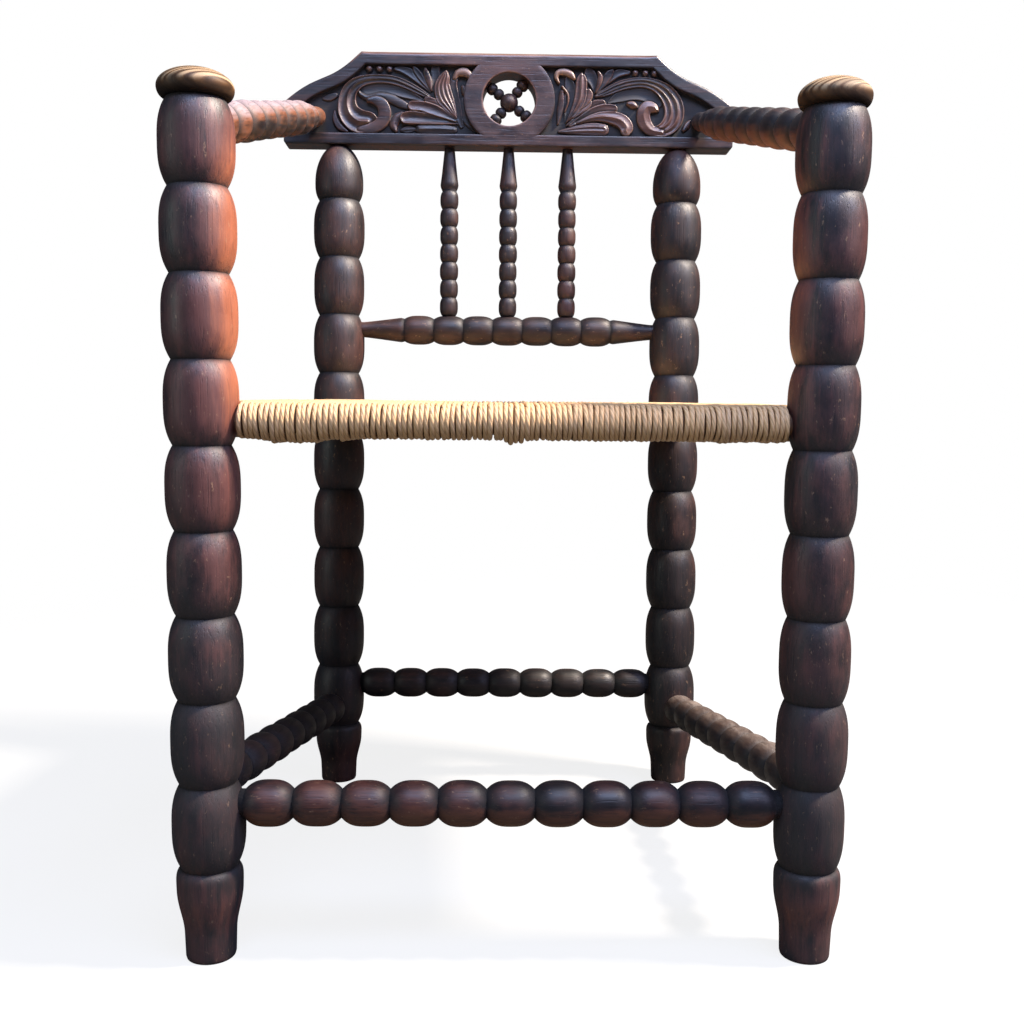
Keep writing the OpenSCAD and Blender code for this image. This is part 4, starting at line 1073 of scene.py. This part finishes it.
# %% [markdown]
# ## Rush seat
# The seat is woven from one long cord of twisted rush leaves. Each turn goes over
# a rail, round it and back under, and dives between its neighbours where it meets
# the turns of the next rail, so four triangles of parallel cord meet in an X. A
# bump map on a flat seat would look like cord only from far away. Here every turn
# is its own thin tube: a path over and under the rail, with an eight-sided section
# carried along it. All turns of one rail are worked out together, as one array.

# %% Turns of rush round one rail
SEAT_RAIL_H, RAIL_R, STRAND_D, SEAT_MEET = 434.0, 10.0, 4.2, 250.0
WRAP_R = RAIL_R + STRAND_D + 0.3
CROWN, CROWN_AT, SAG, LIFT = 1.0, 0.18, 8.0, 8.5
TURNS = {"front": 104, "right": 92, "back": 80, "left": 92}
# Middle, half width and drop of the front's slack places, in mm
SLACK = [(-172, 27, 3.8), (-131, 6, 1.6), (1, 9, 3.6), (165, 6, 1.6)]
STRAND_AROUND, ROW_POINTS = 8, 15
# How far past the meeting line a turn's last two points lie, and how deep they dive
DIVE_ALONG, DIVE_DEEP = np.array([0.9, 0.2]), np.array([4.6, 1.6])
# Spread of the turns' places, thickness, height and colour, as standard deviations
PLACE_SPREAD, THICK_SPREAD, LIFT_SPREAD, TONE_SPREAD = 0.22, 0.05, 0.25, 0.1
# How far a turn wanders sideways in mm, and how its thickness swells along it
WANDER, SWELL_SHARE, SWELL_MM = 0.45, 0.06, 9
# 0 is golden and 1 is brown: the front, which the light bleached, is the most golden
TONES = {"front": 0.12, "right": 0.25, "back": 0.25, "left": 0.25}
corners = [front_axis(-1, SEAT_RAIL_H), front_axis(1, SEAT_RAIL_H),
           back_axis(1, SEAT_RAIL_H), back_axis(-1, SEAT_RAIL_H)]
seat_middle = np.array([0, FRONT_Y + SEAT_MEET, SEAT_RAIL_H])


def rush_top(f):
    """Height of the top: up a quarter sine from the wrap, then down a smooth step."""
    rise = CROWN * np.sin(np.pi / 2 * np.clip(f / CROWN_AT, 0, 1))
    return WRAP_R + rise - SAG * eased((f - CROWN_AT) / (1 - CROWN_AT))


def rush_under(f):
    """Height of the underside: up a smooth step from the wrap to the middle."""
    return -WRAP_R + LIFT * eased(f)


def strands(k, count, seed):
    """Paths of the turns round rail k, as arrays [turn, point]: place along the rail,
    distance inwards and height, with the outside of a circle round the rail."""
    rng = np.random.default_rng(seed)
    start, end = corners[k], corners[(k + 1) % 4]
    length = np.linalg.norm(end - start)
    along = (end - start) / length
    inwards = np.array([-along[1], along[0], 0])
    apex_x, depth = (seat_middle - start) @ along, (seat_middle - start) @ inwards
    first = SHOULDER + STRAND_D / 2
    x = np.linspace(first, length - first, count) + rng.normal(0, PLACE_SPREAD, count)
    reach = depth * np.minimum(x / apex_x, (length - x) / (length - apex_x))
    thick = STRAND_D / 2 * (1 + rng.normal(0, THICK_SPREAD, count))
    lift = rng.normal(0, LIFT_SPREAD, count)
    t = np.linspace(0, 1, ROW_POINTS)
    top_y = (reach - 1.2)[:, None] * (1 - t) + t * 1.0
    top_z = rush_top(top_y / depth) - STRAND_D / 2
    angle = np.radians(np.linspace(96, 264, ROW_POINTS))
    wrap_y = (WRAP_R - STRAND_D / 2) * np.cos(angle) + 0 * reach[:, None]
    wrap_z = (WRAP_R - STRAND_D / 2) * np.sin(angle) + 0 * reach[:, None]
    low_y = top_y[:, ::-1]
    low_z = rush_under(low_y / depth) + STRAND_D / 2
    dive_y = reach[:, None] + DIVE_ALONG
    dive_top = rush_top(reach / depth)[:, None] - STRAND_D / 2 - DIVE_DEEP
    dive_low = rush_under(reach / depth)[:, None] + STRAND_D / 2 + DIVE_DEEP[::-1]
    y = np.hstack([dive_y, top_y, wrap_y, low_y, dive_y[:, ::-1]])
    z = np.hstack([dive_top, top_z, wrap_z, low_z, dive_low])
    run = np.linspace(0, 1, y.shape[1])
    # Each turn wanders sideways and up and down in its own slow waves
    waves = run * rng.uniform(1.5, 4, (count, 1)) + rng.uniform(0, 1, (count, 1))
    wander = WANDER * np.sin(2 * np.pi * waves)
    z = z + lift[:, None] * np.cos(2 * np.pi * (run * 2 + rng.uniform(0, 1, (count, 1))))
    return dict(x=x[:, None] + wander, y=y, z=z, thick=thick, start=start, along=along,
                inwards=inwards, length=length, rng=rng)


print("turns of cord:", TURNS)


# %% Cord along the turns
def strand_mesh(name, s, tone):
    """A ring of points round every point of every path, square to the path's direction. Each
    point keeps its turn's own number and tone, how far along the cord it is, and the sine
    and cosine of its angle round it."""
    place = (s["start"] + s["x"][..., None] * s["along"] + s["y"][..., None] * s["inwards"]
             + s["z"][..., None] * np.array([0, 0, 1.0]))
    turns, steps = place.shape[:2]
    ahead = np.gradient(place, axis=1)
    ahead /= np.linalg.norm(ahead, axis=2)[..., None]
    up = np.cross(ahead, s["along"])
    up /= np.linalg.norm(up, axis=2)[..., None]
    beside = np.cross(up, ahead)
    run = np.cumsum(np.linalg.norm(np.diff(place, axis=1, prepend=place[:, :1]), axis=2), axis=1)
    angle = np.arange(STRAND_AROUND) / STRAND_AROUND * 2 * np.pi
    swelling = np.sin(run / SWELL_MM + s["rng"].uniform(0, 6, (turns, 1)))
    thick = s["thick"][:, None] * (1 + SWELL_SHARE * swelling)
    ring = thick[..., None, None] * (np.cos(angle)[:, None] * beside[..., None, :]
                                     + np.sin(angle)[:, None] * up[..., None, :])
    grid = place[..., None, :] + ring
    index = np.arange(turns * steps * STRAND_AROUND).reshape(turns, steps, STRAND_AROUND)
    nxt = np.roll(index, -1, 2)
    quads = np.stack([index[:, :-1], nxt[:, :-1], nxt[:, 1:], index[:, 1:]], -1).reshape(-1, 4)
    ends = np.stack([place[:, 0], place[:, -1]], 1).reshape(-1, 3)
    pole = turns * steps * STRAND_AROUND + 2 * np.arange(turns)[:, None]
    low = np.stack([pole + 0 * index[:, 0], nxt[:, 0], index[:, 0]], -1).reshape(-1, 3)
    high = np.stack([pole + 1 + 0 * index[:, -1], index[:, -1], nxt[:, -1]], -1).reshape(-1, 3)
    points = np.vstack([grid.reshape(-1, 3), ends])
    shape = (turns, steps, STRAND_AROUND)
    far = np.broadcast_to(run[..., None] * MM, shape)
    own = np.broadcast_to(s["rng"].uniform(0, 1, turns)[:, None, None], shape)
    tones = tone + s["rng"].normal(0, TONE_SPREAD, (turns, 1)) + 0 * place[..., 0]
    tones = np.broadcast_to(tones[..., None], shape)
    fields = {}
    for key, values in {"own": own, "run": far, "tone": tones}.items():
        closing = np.stack([values[:, 0, 0], values[:, -1, 0]], 1).ravel()
        fields[key] = np.concatenate([values.ravel(), closing])
    turn_x, turn_y = (np.append(np.broadcast_to(part, shape), np.zeros(2 * turns))
                      for part in (np.cos(angle), np.sin(angle)))
    fields["turn"] = np.stack([turn_x, turn_y, fields["run"] * 0], 1)
    return make_object(name, points, [quads, low, high], fields)


print("points round a cord:", STRAND_AROUND)

# %% Four fields of rush
for k, (word, count) in enumerate(TURNS.items()):
    s = strands(k, count, 120 + k)
    if k == 0:
        # A few turns have gone slack and hang below the rail, in four places
        slack = sum(drop * np.exp(-((s["x"] - s["length"] / 2 - middle) / half) ** 4)
                    for middle, half, drop in SLACK)
        slack = slack * s["rng"].uniform(0.7, 1.15, (count, 1))
        s["z"] = s["z"] - slack * np.clip(-s["z"] / WRAP_R, 0, 1)
    pieces["rush_" + word] = strand_mesh("woven_rush_" + word, s, TONES[word])
print("rush faces:", [len(pieces["rush_" + w].data.polygons) for w in TURNS])

# %% [markdown]
# ## Fastening the pieces to the frame
# Nothing on this chair moves, so every piece rides on the one body, and the CAD node that
# it stands for is hidden.

# %% Ride and replace
stands_for = list(pieces.items()) + [("crest_rail", panel) for panel in carved.values()]
for node, piece in stands_for:
    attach(piece, "root")
    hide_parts(node)
print("pieces:", len(stands_for))

# %% [markdown]
# ## Materials
# A material here is a small program of nodes. Each one starts from how the real
# surface was made, and reads places in millimetres, so that its grain and its
# twist have their real size. Colours are written as the hex values that a paint
# program shows, and one function turns them into the linear light that a
# renderer adds up.

# %% Colours and nodes
def linear(hex_colour):
    """An sRGB hex value as linear red, green, blue and 1: each part divided by 12.92 if
    small, else raised to the power of 2.4 after scaling."""
    parts = [int(hex_colour[i:i + 2], 16) / 255 for i in (1, 3, 5)]
    return tuple(c / 12.92 if c <= 0.04045 else ((c + 0.055) / 1.055) ** 2.4 for c in parts) + (1.0,)


def noise_scale(width_mm):
    """A noise's blobs are, in metres, half the inverse of its scale wide."""
    return 500 / width_mm


def add(tree, kind, *values, inputs=None, out=0, **settings):
    """Adds a node and returns one of its outputs, by name or by its number among those in
    use. The settings are its properties. The values fill its inputs in turn, and inputs
    fills them by name; a value that is a socket is linked."""
    node = tree.nodes.new("ShaderNode" + kind)
    for key, value in settings.items():
        setattr(node, key, value)
    pairs = list(zip([port for port in node.inputs if port.enabled], values))
    pairs += [(node.inputs[key], value) for key, value in (inputs or {}).items()]
    for port, value in pairs:
        if isinstance(value, bpy.types.NodeSocket):
            tree.links.new(value, port)
        else:
            port.default_value = value
    # An output node has no outputs of its own
    if not node.outputs:
        return None
    if isinstance(out, str):
        return node.outputs[out]
    return [port for port in node.outputs if port.enabled][out]


def new_material(name):
    """An empty material and its tree of nodes."""
    material = bpy.data.materials.new(name)
    material.use_nodes = True
    material.node_tree.nodes.clear()
    return material, material.node_tree


print("middle grey is", round(linear("#808080")[0], 3), "and 3.2 mm is a scale of", noise_scale(3.2))

# %% [markdown]
# ## Turned and carved oak
# The chair is oak, stained nearly black and then waxed. The stain sits deepest in
# the grooves and the pores, is thinner on the beads' bellies, where the red of the
# wood comes through, and has rubbed off where hands, knees and dusters touch. So
# the same wood goes from bluish black through red-brown to orange. One function
# makes all the oak finishes, because only the colours and the amount of wear
# differ from piece to piece.

# %% Oak
# Widths of the stain's patches and of the smudges of hands. The chips are 1.8 mm wide
PATCH_MM, SMUDGE_MM, CHIP_SCALE = 42.0, 9.0, 280.0
# Levels of noise over which the edge of a pore, a chip and bare wood fade in
PORE_EDGE, CHIP_FROM, CHIP_TO, BARE_FROM, BARE_TO = 0.12, 0.63, 0.72, 0.6, 1.4
CHIP_COLOUR = "#B08C6C"
# Depth in metres that a height of 1 stands for in every bump
RELIEF = 0.0006


def oak(name, dark, brown, red, rubbed, worn, warmth=0.8, wear_all=0.0, gloss=0.48, chips=0.5,
        marks=0.4, lines=0.6, grain_mm=3.2, pore_mm=0.7, pore_from=0.56, polish=0.6,
        rough_up=0.4, hollow="#0A080A"):
    """Stained and waxed oak. Streaks run along the third direction of the grain place:
    the noise is squeezed there, so its blobs become long thin lines. The colours go
    from the dark stain over its brown and red to rubbed and then to worn wood. gloss
    is the roughness of the wax, and polish is how much it reflects."""
    material, tree = new_material(name)
    place = add(tree, "Attribute", attribute_name="grain", out="Vector")
    groove = add(tree, "Attribute", attribute_name="groove", out="Fac")
    wear = add(tree, "Attribute", attribute_name="wear", out="Fac")
    warm = add(tree, "Attribute", attribute_name="warm", out="Fac")
    # Streaks are 17 times as long as they are wide, pores 33 times and patches twice
    along = add(tree, "Mapping", inputs={"Vector": place, "Scale": (1, 1, 0.06)})
    fine = add(tree, "Mapping", inputs={"Vector": place, "Scale": (1, 1, 0.03)})
    patchy = add(tree, "Mapping", inputs={"Vector": place, "Scale": (1, 1, 0.45)})
    streak = add(tree, "TexNoise", inputs={
        "Vector": along, "Scale": noise_scale(grain_mm), "Detail": 6.0, "Roughness": 0.62,
        "Distortion": 0.4})
    pore = add(tree, "TexNoise", inputs={"Vector": fine, "Scale": noise_scale(pore_mm), "Detail": 2.0})
    patch = add(tree, "TexNoise", inputs={
        "Vector": patchy, "Scale": noise_scale(PATCH_MM), "Detail": 5.0, "Roughness": 0.6})
    smudge = add(tree, "TexNoise", inputs={
        "Vector": patchy, "Scale": noise_scale(SMUDGE_MM), "Detail": 4.0, "Roughness": 0.65})
    spot = add(tree, "TexNoise", inputs={
        "Vector": patchy, "Scale": CHIP_SCALE, "Detail": 3.0, "Roughness": 0.75})

    # The stain: dark, with browner streaks, and redder in patches on the bellies
    streaks = add(tree, "MapRange", streak, 0.4, 0.62)
    colour = add(tree, "Mix", streaks, linear(dark), linear(brown), data_type="RGBA")
    blotch = add(tree, "Math", smudge, 0.6, operation="MULTIPLY")
    blotch = add(tree, "Math", patch, blotch, operation="ADD")
    patches = add(tree, "MapRange", blotch, 0.66, 0.96, interpolation_type="SMOOTHSTEP")
    reddish = add(tree, "Math", warm, warmth, operation="MULTIPLY")
    reddish = add(tree, "Math", reddish, patches, operation="MULTIPLY")
    colour = add(tree, "Mix", reddish, colour, linear(red), data_type="RGBA")
    # The wear drawn on the piece, broken up by smudges and streaks, first red, then orange
    broken = add(tree, "Math", wear, 1.1, wear_all - 0.53 - 0.5 * lines, operation="MULTIPLY_ADD")
    broken = add(tree, "Math", blotch, broken, operation="ADD")
    broken = add(tree, "Math", streak, lines, broken, operation="MULTIPLY_ADD")
    thin = add(tree, "MapRange", broken, 0.3, 0.75, interpolation_type="SMOOTHSTEP")
    bare = add(tree, "MapRange", broken, BARE_FROM, BARE_TO, interpolation_type="SMOOTHSTEP")
    colour = add(tree, "Mix", thin, colour, linear(rubbed), data_type="RGBA")
    colour = add(tree, "Mix", bare, colour, linear(worn), data_type="RGBA")
    # Pores keep the dark stain, and small chips and scratches show pale wood
    pores = add(tree, "MapRange", pore, pore_from, pore_from + PORE_EDGE, 0.0, marks)
    colour = add(tree, "Mix", pores, colour, linear(dark), data_type="RGBA")
    chip = add(tree, "MapRange", spot, CHIP_FROM, CHIP_TO, 0.0, chips)
    chip = add(tree, "Math", chip, warm, operation="MULTIPLY")
    colour = add(tree, "Mix", chip, colour, linear(CHIP_COLOUR), data_type="RGBA")
    # The groove mask darkens and dulls: old wax and dirt in the grooves, and painted shade in
    # the wide grooves, under the buns and on the lower front posts
    deep = add(tree, "Math", groove, 0.9, operation="MULTIPLY")
    colour = add(tree, "Mix", deep, colour, linear(hollow), data_type="RGBA")

    # Smudges dull the wax a little, and grooves are matt
    rough = add(tree, "MapRange", smudge, 0.3, 0.7, gloss - 0.08, gloss + 0.12)
    rough = add(tree, "Math", groove, 0.45, rough, operation="MULTIPLY_ADD", use_clamp=True)
    # The grain and the dents of use stand up, and the pores are sunk
    height = add(tree, "Math", streak, 0.5, operation="MULTIPLY")
    height = add(tree, "Math", pores, -0.7, height, operation="MULTIPLY_ADD")
    height = add(tree, "Math", smudge, 0.6, height, operation="MULTIPLY_ADD")
    bump = add(tree, "Bump", inputs={"Strength": rough_up, "Distance": RELIEF, "Height": height})
    shader = add(tree, "BsdfPrincipled", inputs={
        "Base Color": colour, "Roughness": rough, "Specular IOR Level": polish, "Normal": bump})
    add(tree, "OutputMaterial", shader)
    return material


print("patches", PATCH_MM, "mm and smudges", SMUDGE_MM, "mm wide")

# %% Oak finishes
# Oak from the lathe under black stain and wax. Wax fills the gouge's fine ridges, so the
# beads shine softly, and a little red shows on their bellies
turned_oak = oak("waxed_black_oak", "#100D11", "#2A1D1C", "#4C2C24", "#5E382C", "#845438",
                 gloss=0.5, polish=0.7, rough_up=0.6)
# The same on the front posts, which are handled and kicked more: redder bellies, and orange
# streaks where the stain is gone, which on the left post's inner half also paint its sunlight
front_oak = oak("waxed_black_oak_front_posts", "#100D12", "#2C1D1F", "#562E28", "#643832",
                "#AC6444", warmth=0.9, gloss=0.5, marks=0.3, lines=1.1, polish=0.85,
                rough_up=0.7, hollow="#120A08")
# The same on the middle rail, where backs rub: a duller brown with no orange
red_oak = oak("rubbed_red_oak", "#0E0C10", "#281B1B", "#40281F", "#5A3830", "#94603F", warmth=0.8)
# The same on the front stretcher, where shoes rub: black above, and red-brown below
low_oak = oak("waxed_oak_stretchers", "#0C0B11", "#1E1519", "#4A241D", "#5C3424", "#7C5430", warmth=1.0)
# The same on the right stretcher, whose upper side is painted pale as a sunlit highlight
lit_top_oak = oak("brown_oak_painted_lit_top", "#101014", "#2A1F1C", "#46302A", "#4A3830", "#B0A296",
                warmth=1.0, gloss=0.4, polish=0.9)
# The left arm was polished by hands until the stain went: brown wood with pale streaks
# along the grain, and the glossiest wood of the chair. Its pale lilac top is bare wood and
# also a painted sheen of the sky
arm_oak_left = oak("hand_worn_oak_painted_sheen", "#1C1312", "#46301F", "#5E3A26", "#8E5636", "#B09C9C",
                   wear_all=0.18, gloss=0.36, lines=1.2, polish=1.0, hollow="#1C0E0A")
# The right arm is dark on top, where it mirrors the sky, and orange-brown on its lower half
arm_oak_right = oak("dark_oak_orange_below", "#13131A", "#2A2426", "#3A282A", "#744834", "#8A5434",
                    gloss=0.4, polish=0.9)
# The buns' wood is bare: matt honey-coloured end grain with rings, and long dark pores
bun_oak = oak("bare_honey_oak", "#2A1A0E", "#4A3826", "#5E442C", "#644528", "#C2A47E", wear_all=0.2,
              gloss=0.55, chips=0.0, marks=0.7, lines=1.0, grain_mm=2.0, pore_mm=1.6, pore_from=0.5,
              polish=0.3)
# The board was planed and carved, not turned, then stained and waxed: its flat borders
# shine most, and its edges are a greyish pink, worn and with a painted highlight
board_oak = oak("waxed_board_oak", "#14141A", "#2B2022", "#4C322A", "#5E3E34", "#9C7C68",
                gloss=0.36, polish=0.8)
print("oak finishes made")

# %% [markdown]
# ## Rush
# Rush cord is two or three flat leaves twisted together, shiny like straw. Its
# twist is too fine to model on every turn, so it is drawn as stripes that wind
# round each tube: the angle round the cord plus the distance along it gives a
# helix. Every turn has its own tone, as every leaf does, and painted shade darkens
# the creases of each cord and the gaps between the turns.

# %% Rush material
# Length of half a turn of the twist in mm, scale of the clouds of colour, which are 19 mm
# wide, and how much painted shade darkens the creases and the gaps
TWIST_MM, CLOUD_SCALE, CREASE_SHADE, GAP_SHADE = 13.0, 26.0, 0.5, 0.55


def rush_finish(name, golden, brown, shadow):
    """Twisted rush leaves: stripes from the sine of twice the angle round the cord plus
    the distance along it, fine fibres that wind with them, and a shade for each turn."""
    material, tree = new_material(name)
    own = add(tree, "Attribute", attribute_name="own", out="Fac")
    run = add(tree, "Attribute", attribute_name="run", out="Fac")
    tone = add(tree, "Attribute", attribute_name="tone", out="Fac")
    turn = add(tree, "Attribute", attribute_name="turn", out="Vector")
    sideways = add(tree, "SeparateXYZ", turn, out="X")
    outwards = add(tree, "SeparateXYZ", turn, out="Y")
    angle = add(tree, "Math", outwards, sideways, operation="ARCTAN2")
    turns = add(tree, "Math", run, 2 * math.pi / (TWIST_MM * MM), operation="MULTIPLY")
    helix = add(tree, "Math", angle, 2.0, turns, operation="MULTIPLY_ADD")
    shifted = add(tree, "Math", own, 6.0, helix, operation="MULTIPLY_ADD")
    ply = add(tree, "Math", add(tree, "Math", shifted, operation="SINE"), operation="ABSOLUTE")
    # The fibres' noise is read on a cylinder round the cord, and elsewhere for each turn
    further = add(tree, "Math", run, 60.0, operation="MULTIPLY")
    further = add(tree, "Math", own, 50.0, further, operation="MULTIPLY_ADD")
    fibre_at = add(tree, "CombineXYZ", add(tree, "Math", helix, operation="SINE"),
                   add(tree, "Math", helix, operation="COSINE"), further)
    fibre = add(tree, "TexNoise", inputs={"Vector": fibre_at, "Scale": 3.0, "Detail": 4.0})
    place = add(tree, "TexCoord", out="Object")
    cloud = add(tree, "TexNoise", inputs={"Vector": place, "Scale": CLOUD_SCALE, "Detail": 3.0})
    # How brown it is: its fibres, the turn's own tone and slow clouds over the whole seat
    tint = add(tree, "Math", fibre, 1.0, tone, operation="MULTIPLY_ADD")
    tint = add(tree, "Math", cloud, 0.7, tint, operation="MULTIPLY_ADD")
    tint = add(tree, "Math", tint, 0.85, operation="SUBTRACT", use_clamp=True)
    colour = add(tree, "Mix", tint, linear(golden), linear(brown), data_type="RGBA")
    # Painted shade darkens the creases between the leaves of a cord, and the gaps between the cords
    crease = add(tree, "MapRange", ply, 0.0, 0.35, CREASE_SHADE, 0.0)
    colour = add(tree, "Mix", crease, colour, linear(shadow), data_type="RGBA")
    gap = add(tree, "Math", sideways, operation="ABSOLUTE")
    gap = add(tree, "MapRange", gap, 0.7, 1.0, 0.0, GAP_SHADE)
    colour = add(tree, "Mix", gap, colour, linear(shadow), data_type="RGBA")
    height = add(tree, "Math", fibre, 0.5, ply, operation="MULTIPLY_ADD")
    bump = add(tree, "Bump", inputs={"Strength": 0.6, "Distance": RELIEF, "Height": height})
    shader = add(tree, "BsdfPrincipled", inputs={
        "Base Color": colour, "Roughness": 0.5, "Specular IOR Level": 0.4, "Normal": bump})
    add(tree, "OutputMaterial", shader)
    return material


# Dried rush leaves, twisted damp by hand: golden where they lay in the light, greyish
# brown elsewhere, with the soft shine of straw
rush = rush_finish("twisted_rush", "#ECC08A", "#CCAC8C", "#7A5A3C")
print("rush made")

# %% [markdown]
# ## Hidden wood and stuffing
# The rails inside the rush and the loose leaves between its layers keep their CAD
# shapes, because nothing of them shows. They still get a finish, for anyone who
# takes the seat apart. A CAD mesh has no grain place, so these patterns read the
# object's own coordinates.

# %% Finishes of the hidden pieces
def plain_finish(name, dark, light, scale, stretch, rough):
    """A noise stretched along one direction, between two colours."""
    material, tree = new_material(name)
    place = add(tree, "TexCoord", out="Object")
    place = add(tree, "Mapping", inputs={"Vector": place, "Scale": stretch})
    noise = add(tree, "TexNoise", inputs={"Vector": place, "Scale": scale, "Detail": 5.0})
    level = add(tree, "MapRange", noise, 0.35, 0.65)
    colour = add(tree, "Mix", level, linear(dark), linear(light), data_type="RGBA")
    bump = add(tree, "Bump", inputs={"Strength": 0.4, "Distance": RELIEF, "Height": noise})
    shader = add(tree, "BsdfPrincipled", inputs={
        "Base Color": colour, "Roughness": rough, "Normal": bump})
    add(tree, "OutputMaterial", shader)
    return material


# Sawn oak without stain or wax, dull, with grain 3 mm wide along each rail
rail_wood_x = plain_finish("sawn_oak_across", "#5A3B26", "#8A6240", 160.0, (0.08, 1, 1), 0.7)
rail_wood_y = plain_finish("sawn_oak_along", "#5A3B26", "#8A6240", 160.0, (1, 0.08, 1), 0.7)
# Loose rush leaves, pushed in dry: a matt greenish straw with fibres 2 mm wide
loose_rush = plain_finish("loose_rush", "#6F5A34", "#A48C56", 240.0, (1, 0.2, 1), 0.8)
print("hidden finishes made")

# %% Give each piece its finish
FINISHES = {
    "rush": rush, "finial": bun_oak, "front_post": front_oak, "crest_rail": board_oak,
    "back_mid_rail": red_oak, "stretcher_front": low_oak, "stretcher_right": lit_top_oak,
    "arm_left": arm_oak_left, "arm_right": arm_oak_right}


def finish_of(node):
    """The finish whose word the node's name starts with, or else plain turned oak."""
    return next((made for word, made in FINISHES.items() if node.startswith(word)), turned_oak)


for node, piece in stands_for:
    piece.data.materials.append(finish_of(node))
for node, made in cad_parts.items():
    if node.startswith("stuffing"):
        hidden = loose_rush
    elif node.startswith("seat_rail"):
        hidden = rail_wood_x if node.endswith(("front", "back")) else rail_wood_y
    else:
        continue
    made.data.materials.clear()
    made.data.materials.append(hidden)
print("materials:", len(bpy.data.materials))

# %% [markdown]
# ## Studio
# The chair stood in sunlight under a blue sky, with the sun high on the right. A
# small strong lamp there throws each bead's shadow on the next. Two large cool
# lamps, one overhead and one on the right, give the bluish sheen on the beads, and
# a weak one on the left keeps the shadows open. The floor, the backdrop and the
# world beyond them are pale only for the camera, so the background is white
# without throwing extra light on the dark wood. Near the chair the floor is lifted
# a little less, and keeps its shadow.

# %% Floor and backdrop
# How far the floor near the chair is lifted to white, and the distances in metres between
# which the rest of the lift comes
LIFT_NEAR, LIFT_FROM, LIFT_TO = 0.84, 0.6, 1.9


def white_stage(name):
    """A matt surface, pale for the camera and grey for other rays. The camera also sees it
    mixed with a white emission of strength 1, more so further from the middle."""
    material, tree = new_material(name)
    seen = add(tree, "LightPath", out="Is Camera Ray")
    away = add(tree, "VectorMath", add(tree, "TexCoord", out="Object"), operation="LENGTH")
    lift = add(tree, "MapRange", away, LIFT_FROM, LIFT_TO, LIFT_NEAR, 1.0,
               interpolation_type="SMOOTHSTEP")
    shade = add(tree, "Mix", seen, linear("#5A5A58"), linear("#E8E8E6"), data_type="RGBA")
    matt = add(tree, "BsdfDiffuse", shade)
    white = add(tree, "Emission", (1, 1, 1, 1), 1.0)
    mix = add(tree, "MixShader", add(tree, "Math", seen, lift, operation="MULTIPLY"), matt, white)
    add(tree, "OutputMaterial", mix)
    return material


FLOOR_SIZE, WALL_Y, WALL_H = 9.0, 2.6, 4.5
half = FLOOR_SIZE / 2
stage_corners = {
    "floor": [(-half, -half, 0), (half, -half, 0), (half, half, 0), (-half, half, 0)],
    "backdrop": [(-half, WALL_Y, 0), (half, WALL_Y, 0), (half, WALL_Y, WALL_H), (-half, WALL_Y, WALL_H)]}
for name, stage_points in stage_corners.items():
    mesh = bpy.data.meshes.new(name)
    mesh.from_pydata(stage_points, [], [(0, 1, 2, 3)])
    mesh.materials.append(white_stage("white_" + name))
    made = bpy.data.objects.new(name, mesh)
    bpy.context.scene.collection.objects.link(made)
print("floor and backdrop made")

# %% World
# A faint blue glow for the chair, and nearly white where the camera looks past the stage
world = bpy.data.worlds.new("studio")
bpy.context.scene.world = world
world.use_nodes = True
world.node_tree.nodes.clear()
sky_glow = add(world.node_tree, "Background", linear("#B8CAFF"), 0.08)
pale = add(world.node_tree, "Background", linear("#F4F4F4"), 1.0)
to_camera = add(world.node_tree, "LightPath", out="Is Camera Ray")
add(world.node_tree, "OutputWorld", add(world.node_tree, "MixShader", to_camera, sky_glow, pale))
print("world made")


# %% Lamps
def lamp(name, place, target, size, watts, colour):
    """A rectangular lamp at a place in metres that faces a target."""
    light = bpy.data.lights.new(name, "AREA")
    light.shape, light.size, light.size_y, light.energy = "RECTANGLE", size[0], size[1], watts
    light.color = linear(colour)[:3]
    made = bpy.data.objects.new(name, light)
    made.location = place
    made.rotation_euler = (Vector(target) - Vector(place)).to_track_quat("-Z", "Y").to_euler()
    bpy.context.scene.collection.objects.link(made)


# The sun: its direction follows from the shadow of the right front post on the rush
lamp("sun_side", (2.15, -0.34, 3.3), (0, -0.1, 0.5), (0.4, 0.4), 340, "#FFF0E0")
# The blue sky overhead, and its paler part on the right
lamp("sky", (0.3, -1.5, 2.8), (0, 0, 0.45), (2.0, 1.2), 84, "#BCD0FF")
lamp("right_sky", (2.7, -1.5, 2.3), (0, 0, 0.6), (1.4, 1.0), 42, "#D2D4FF")
# A little light that comes back from the left
lamp("left_fill", (-2.2, -1.3, 1.0), (0, 0, 0.4), (0.6, 1.4), 9, "#E8F0EA")
bpy.context.scene.view_settings.view_transform = "Standard"
print("lamps:", len(bpy.data.lights))
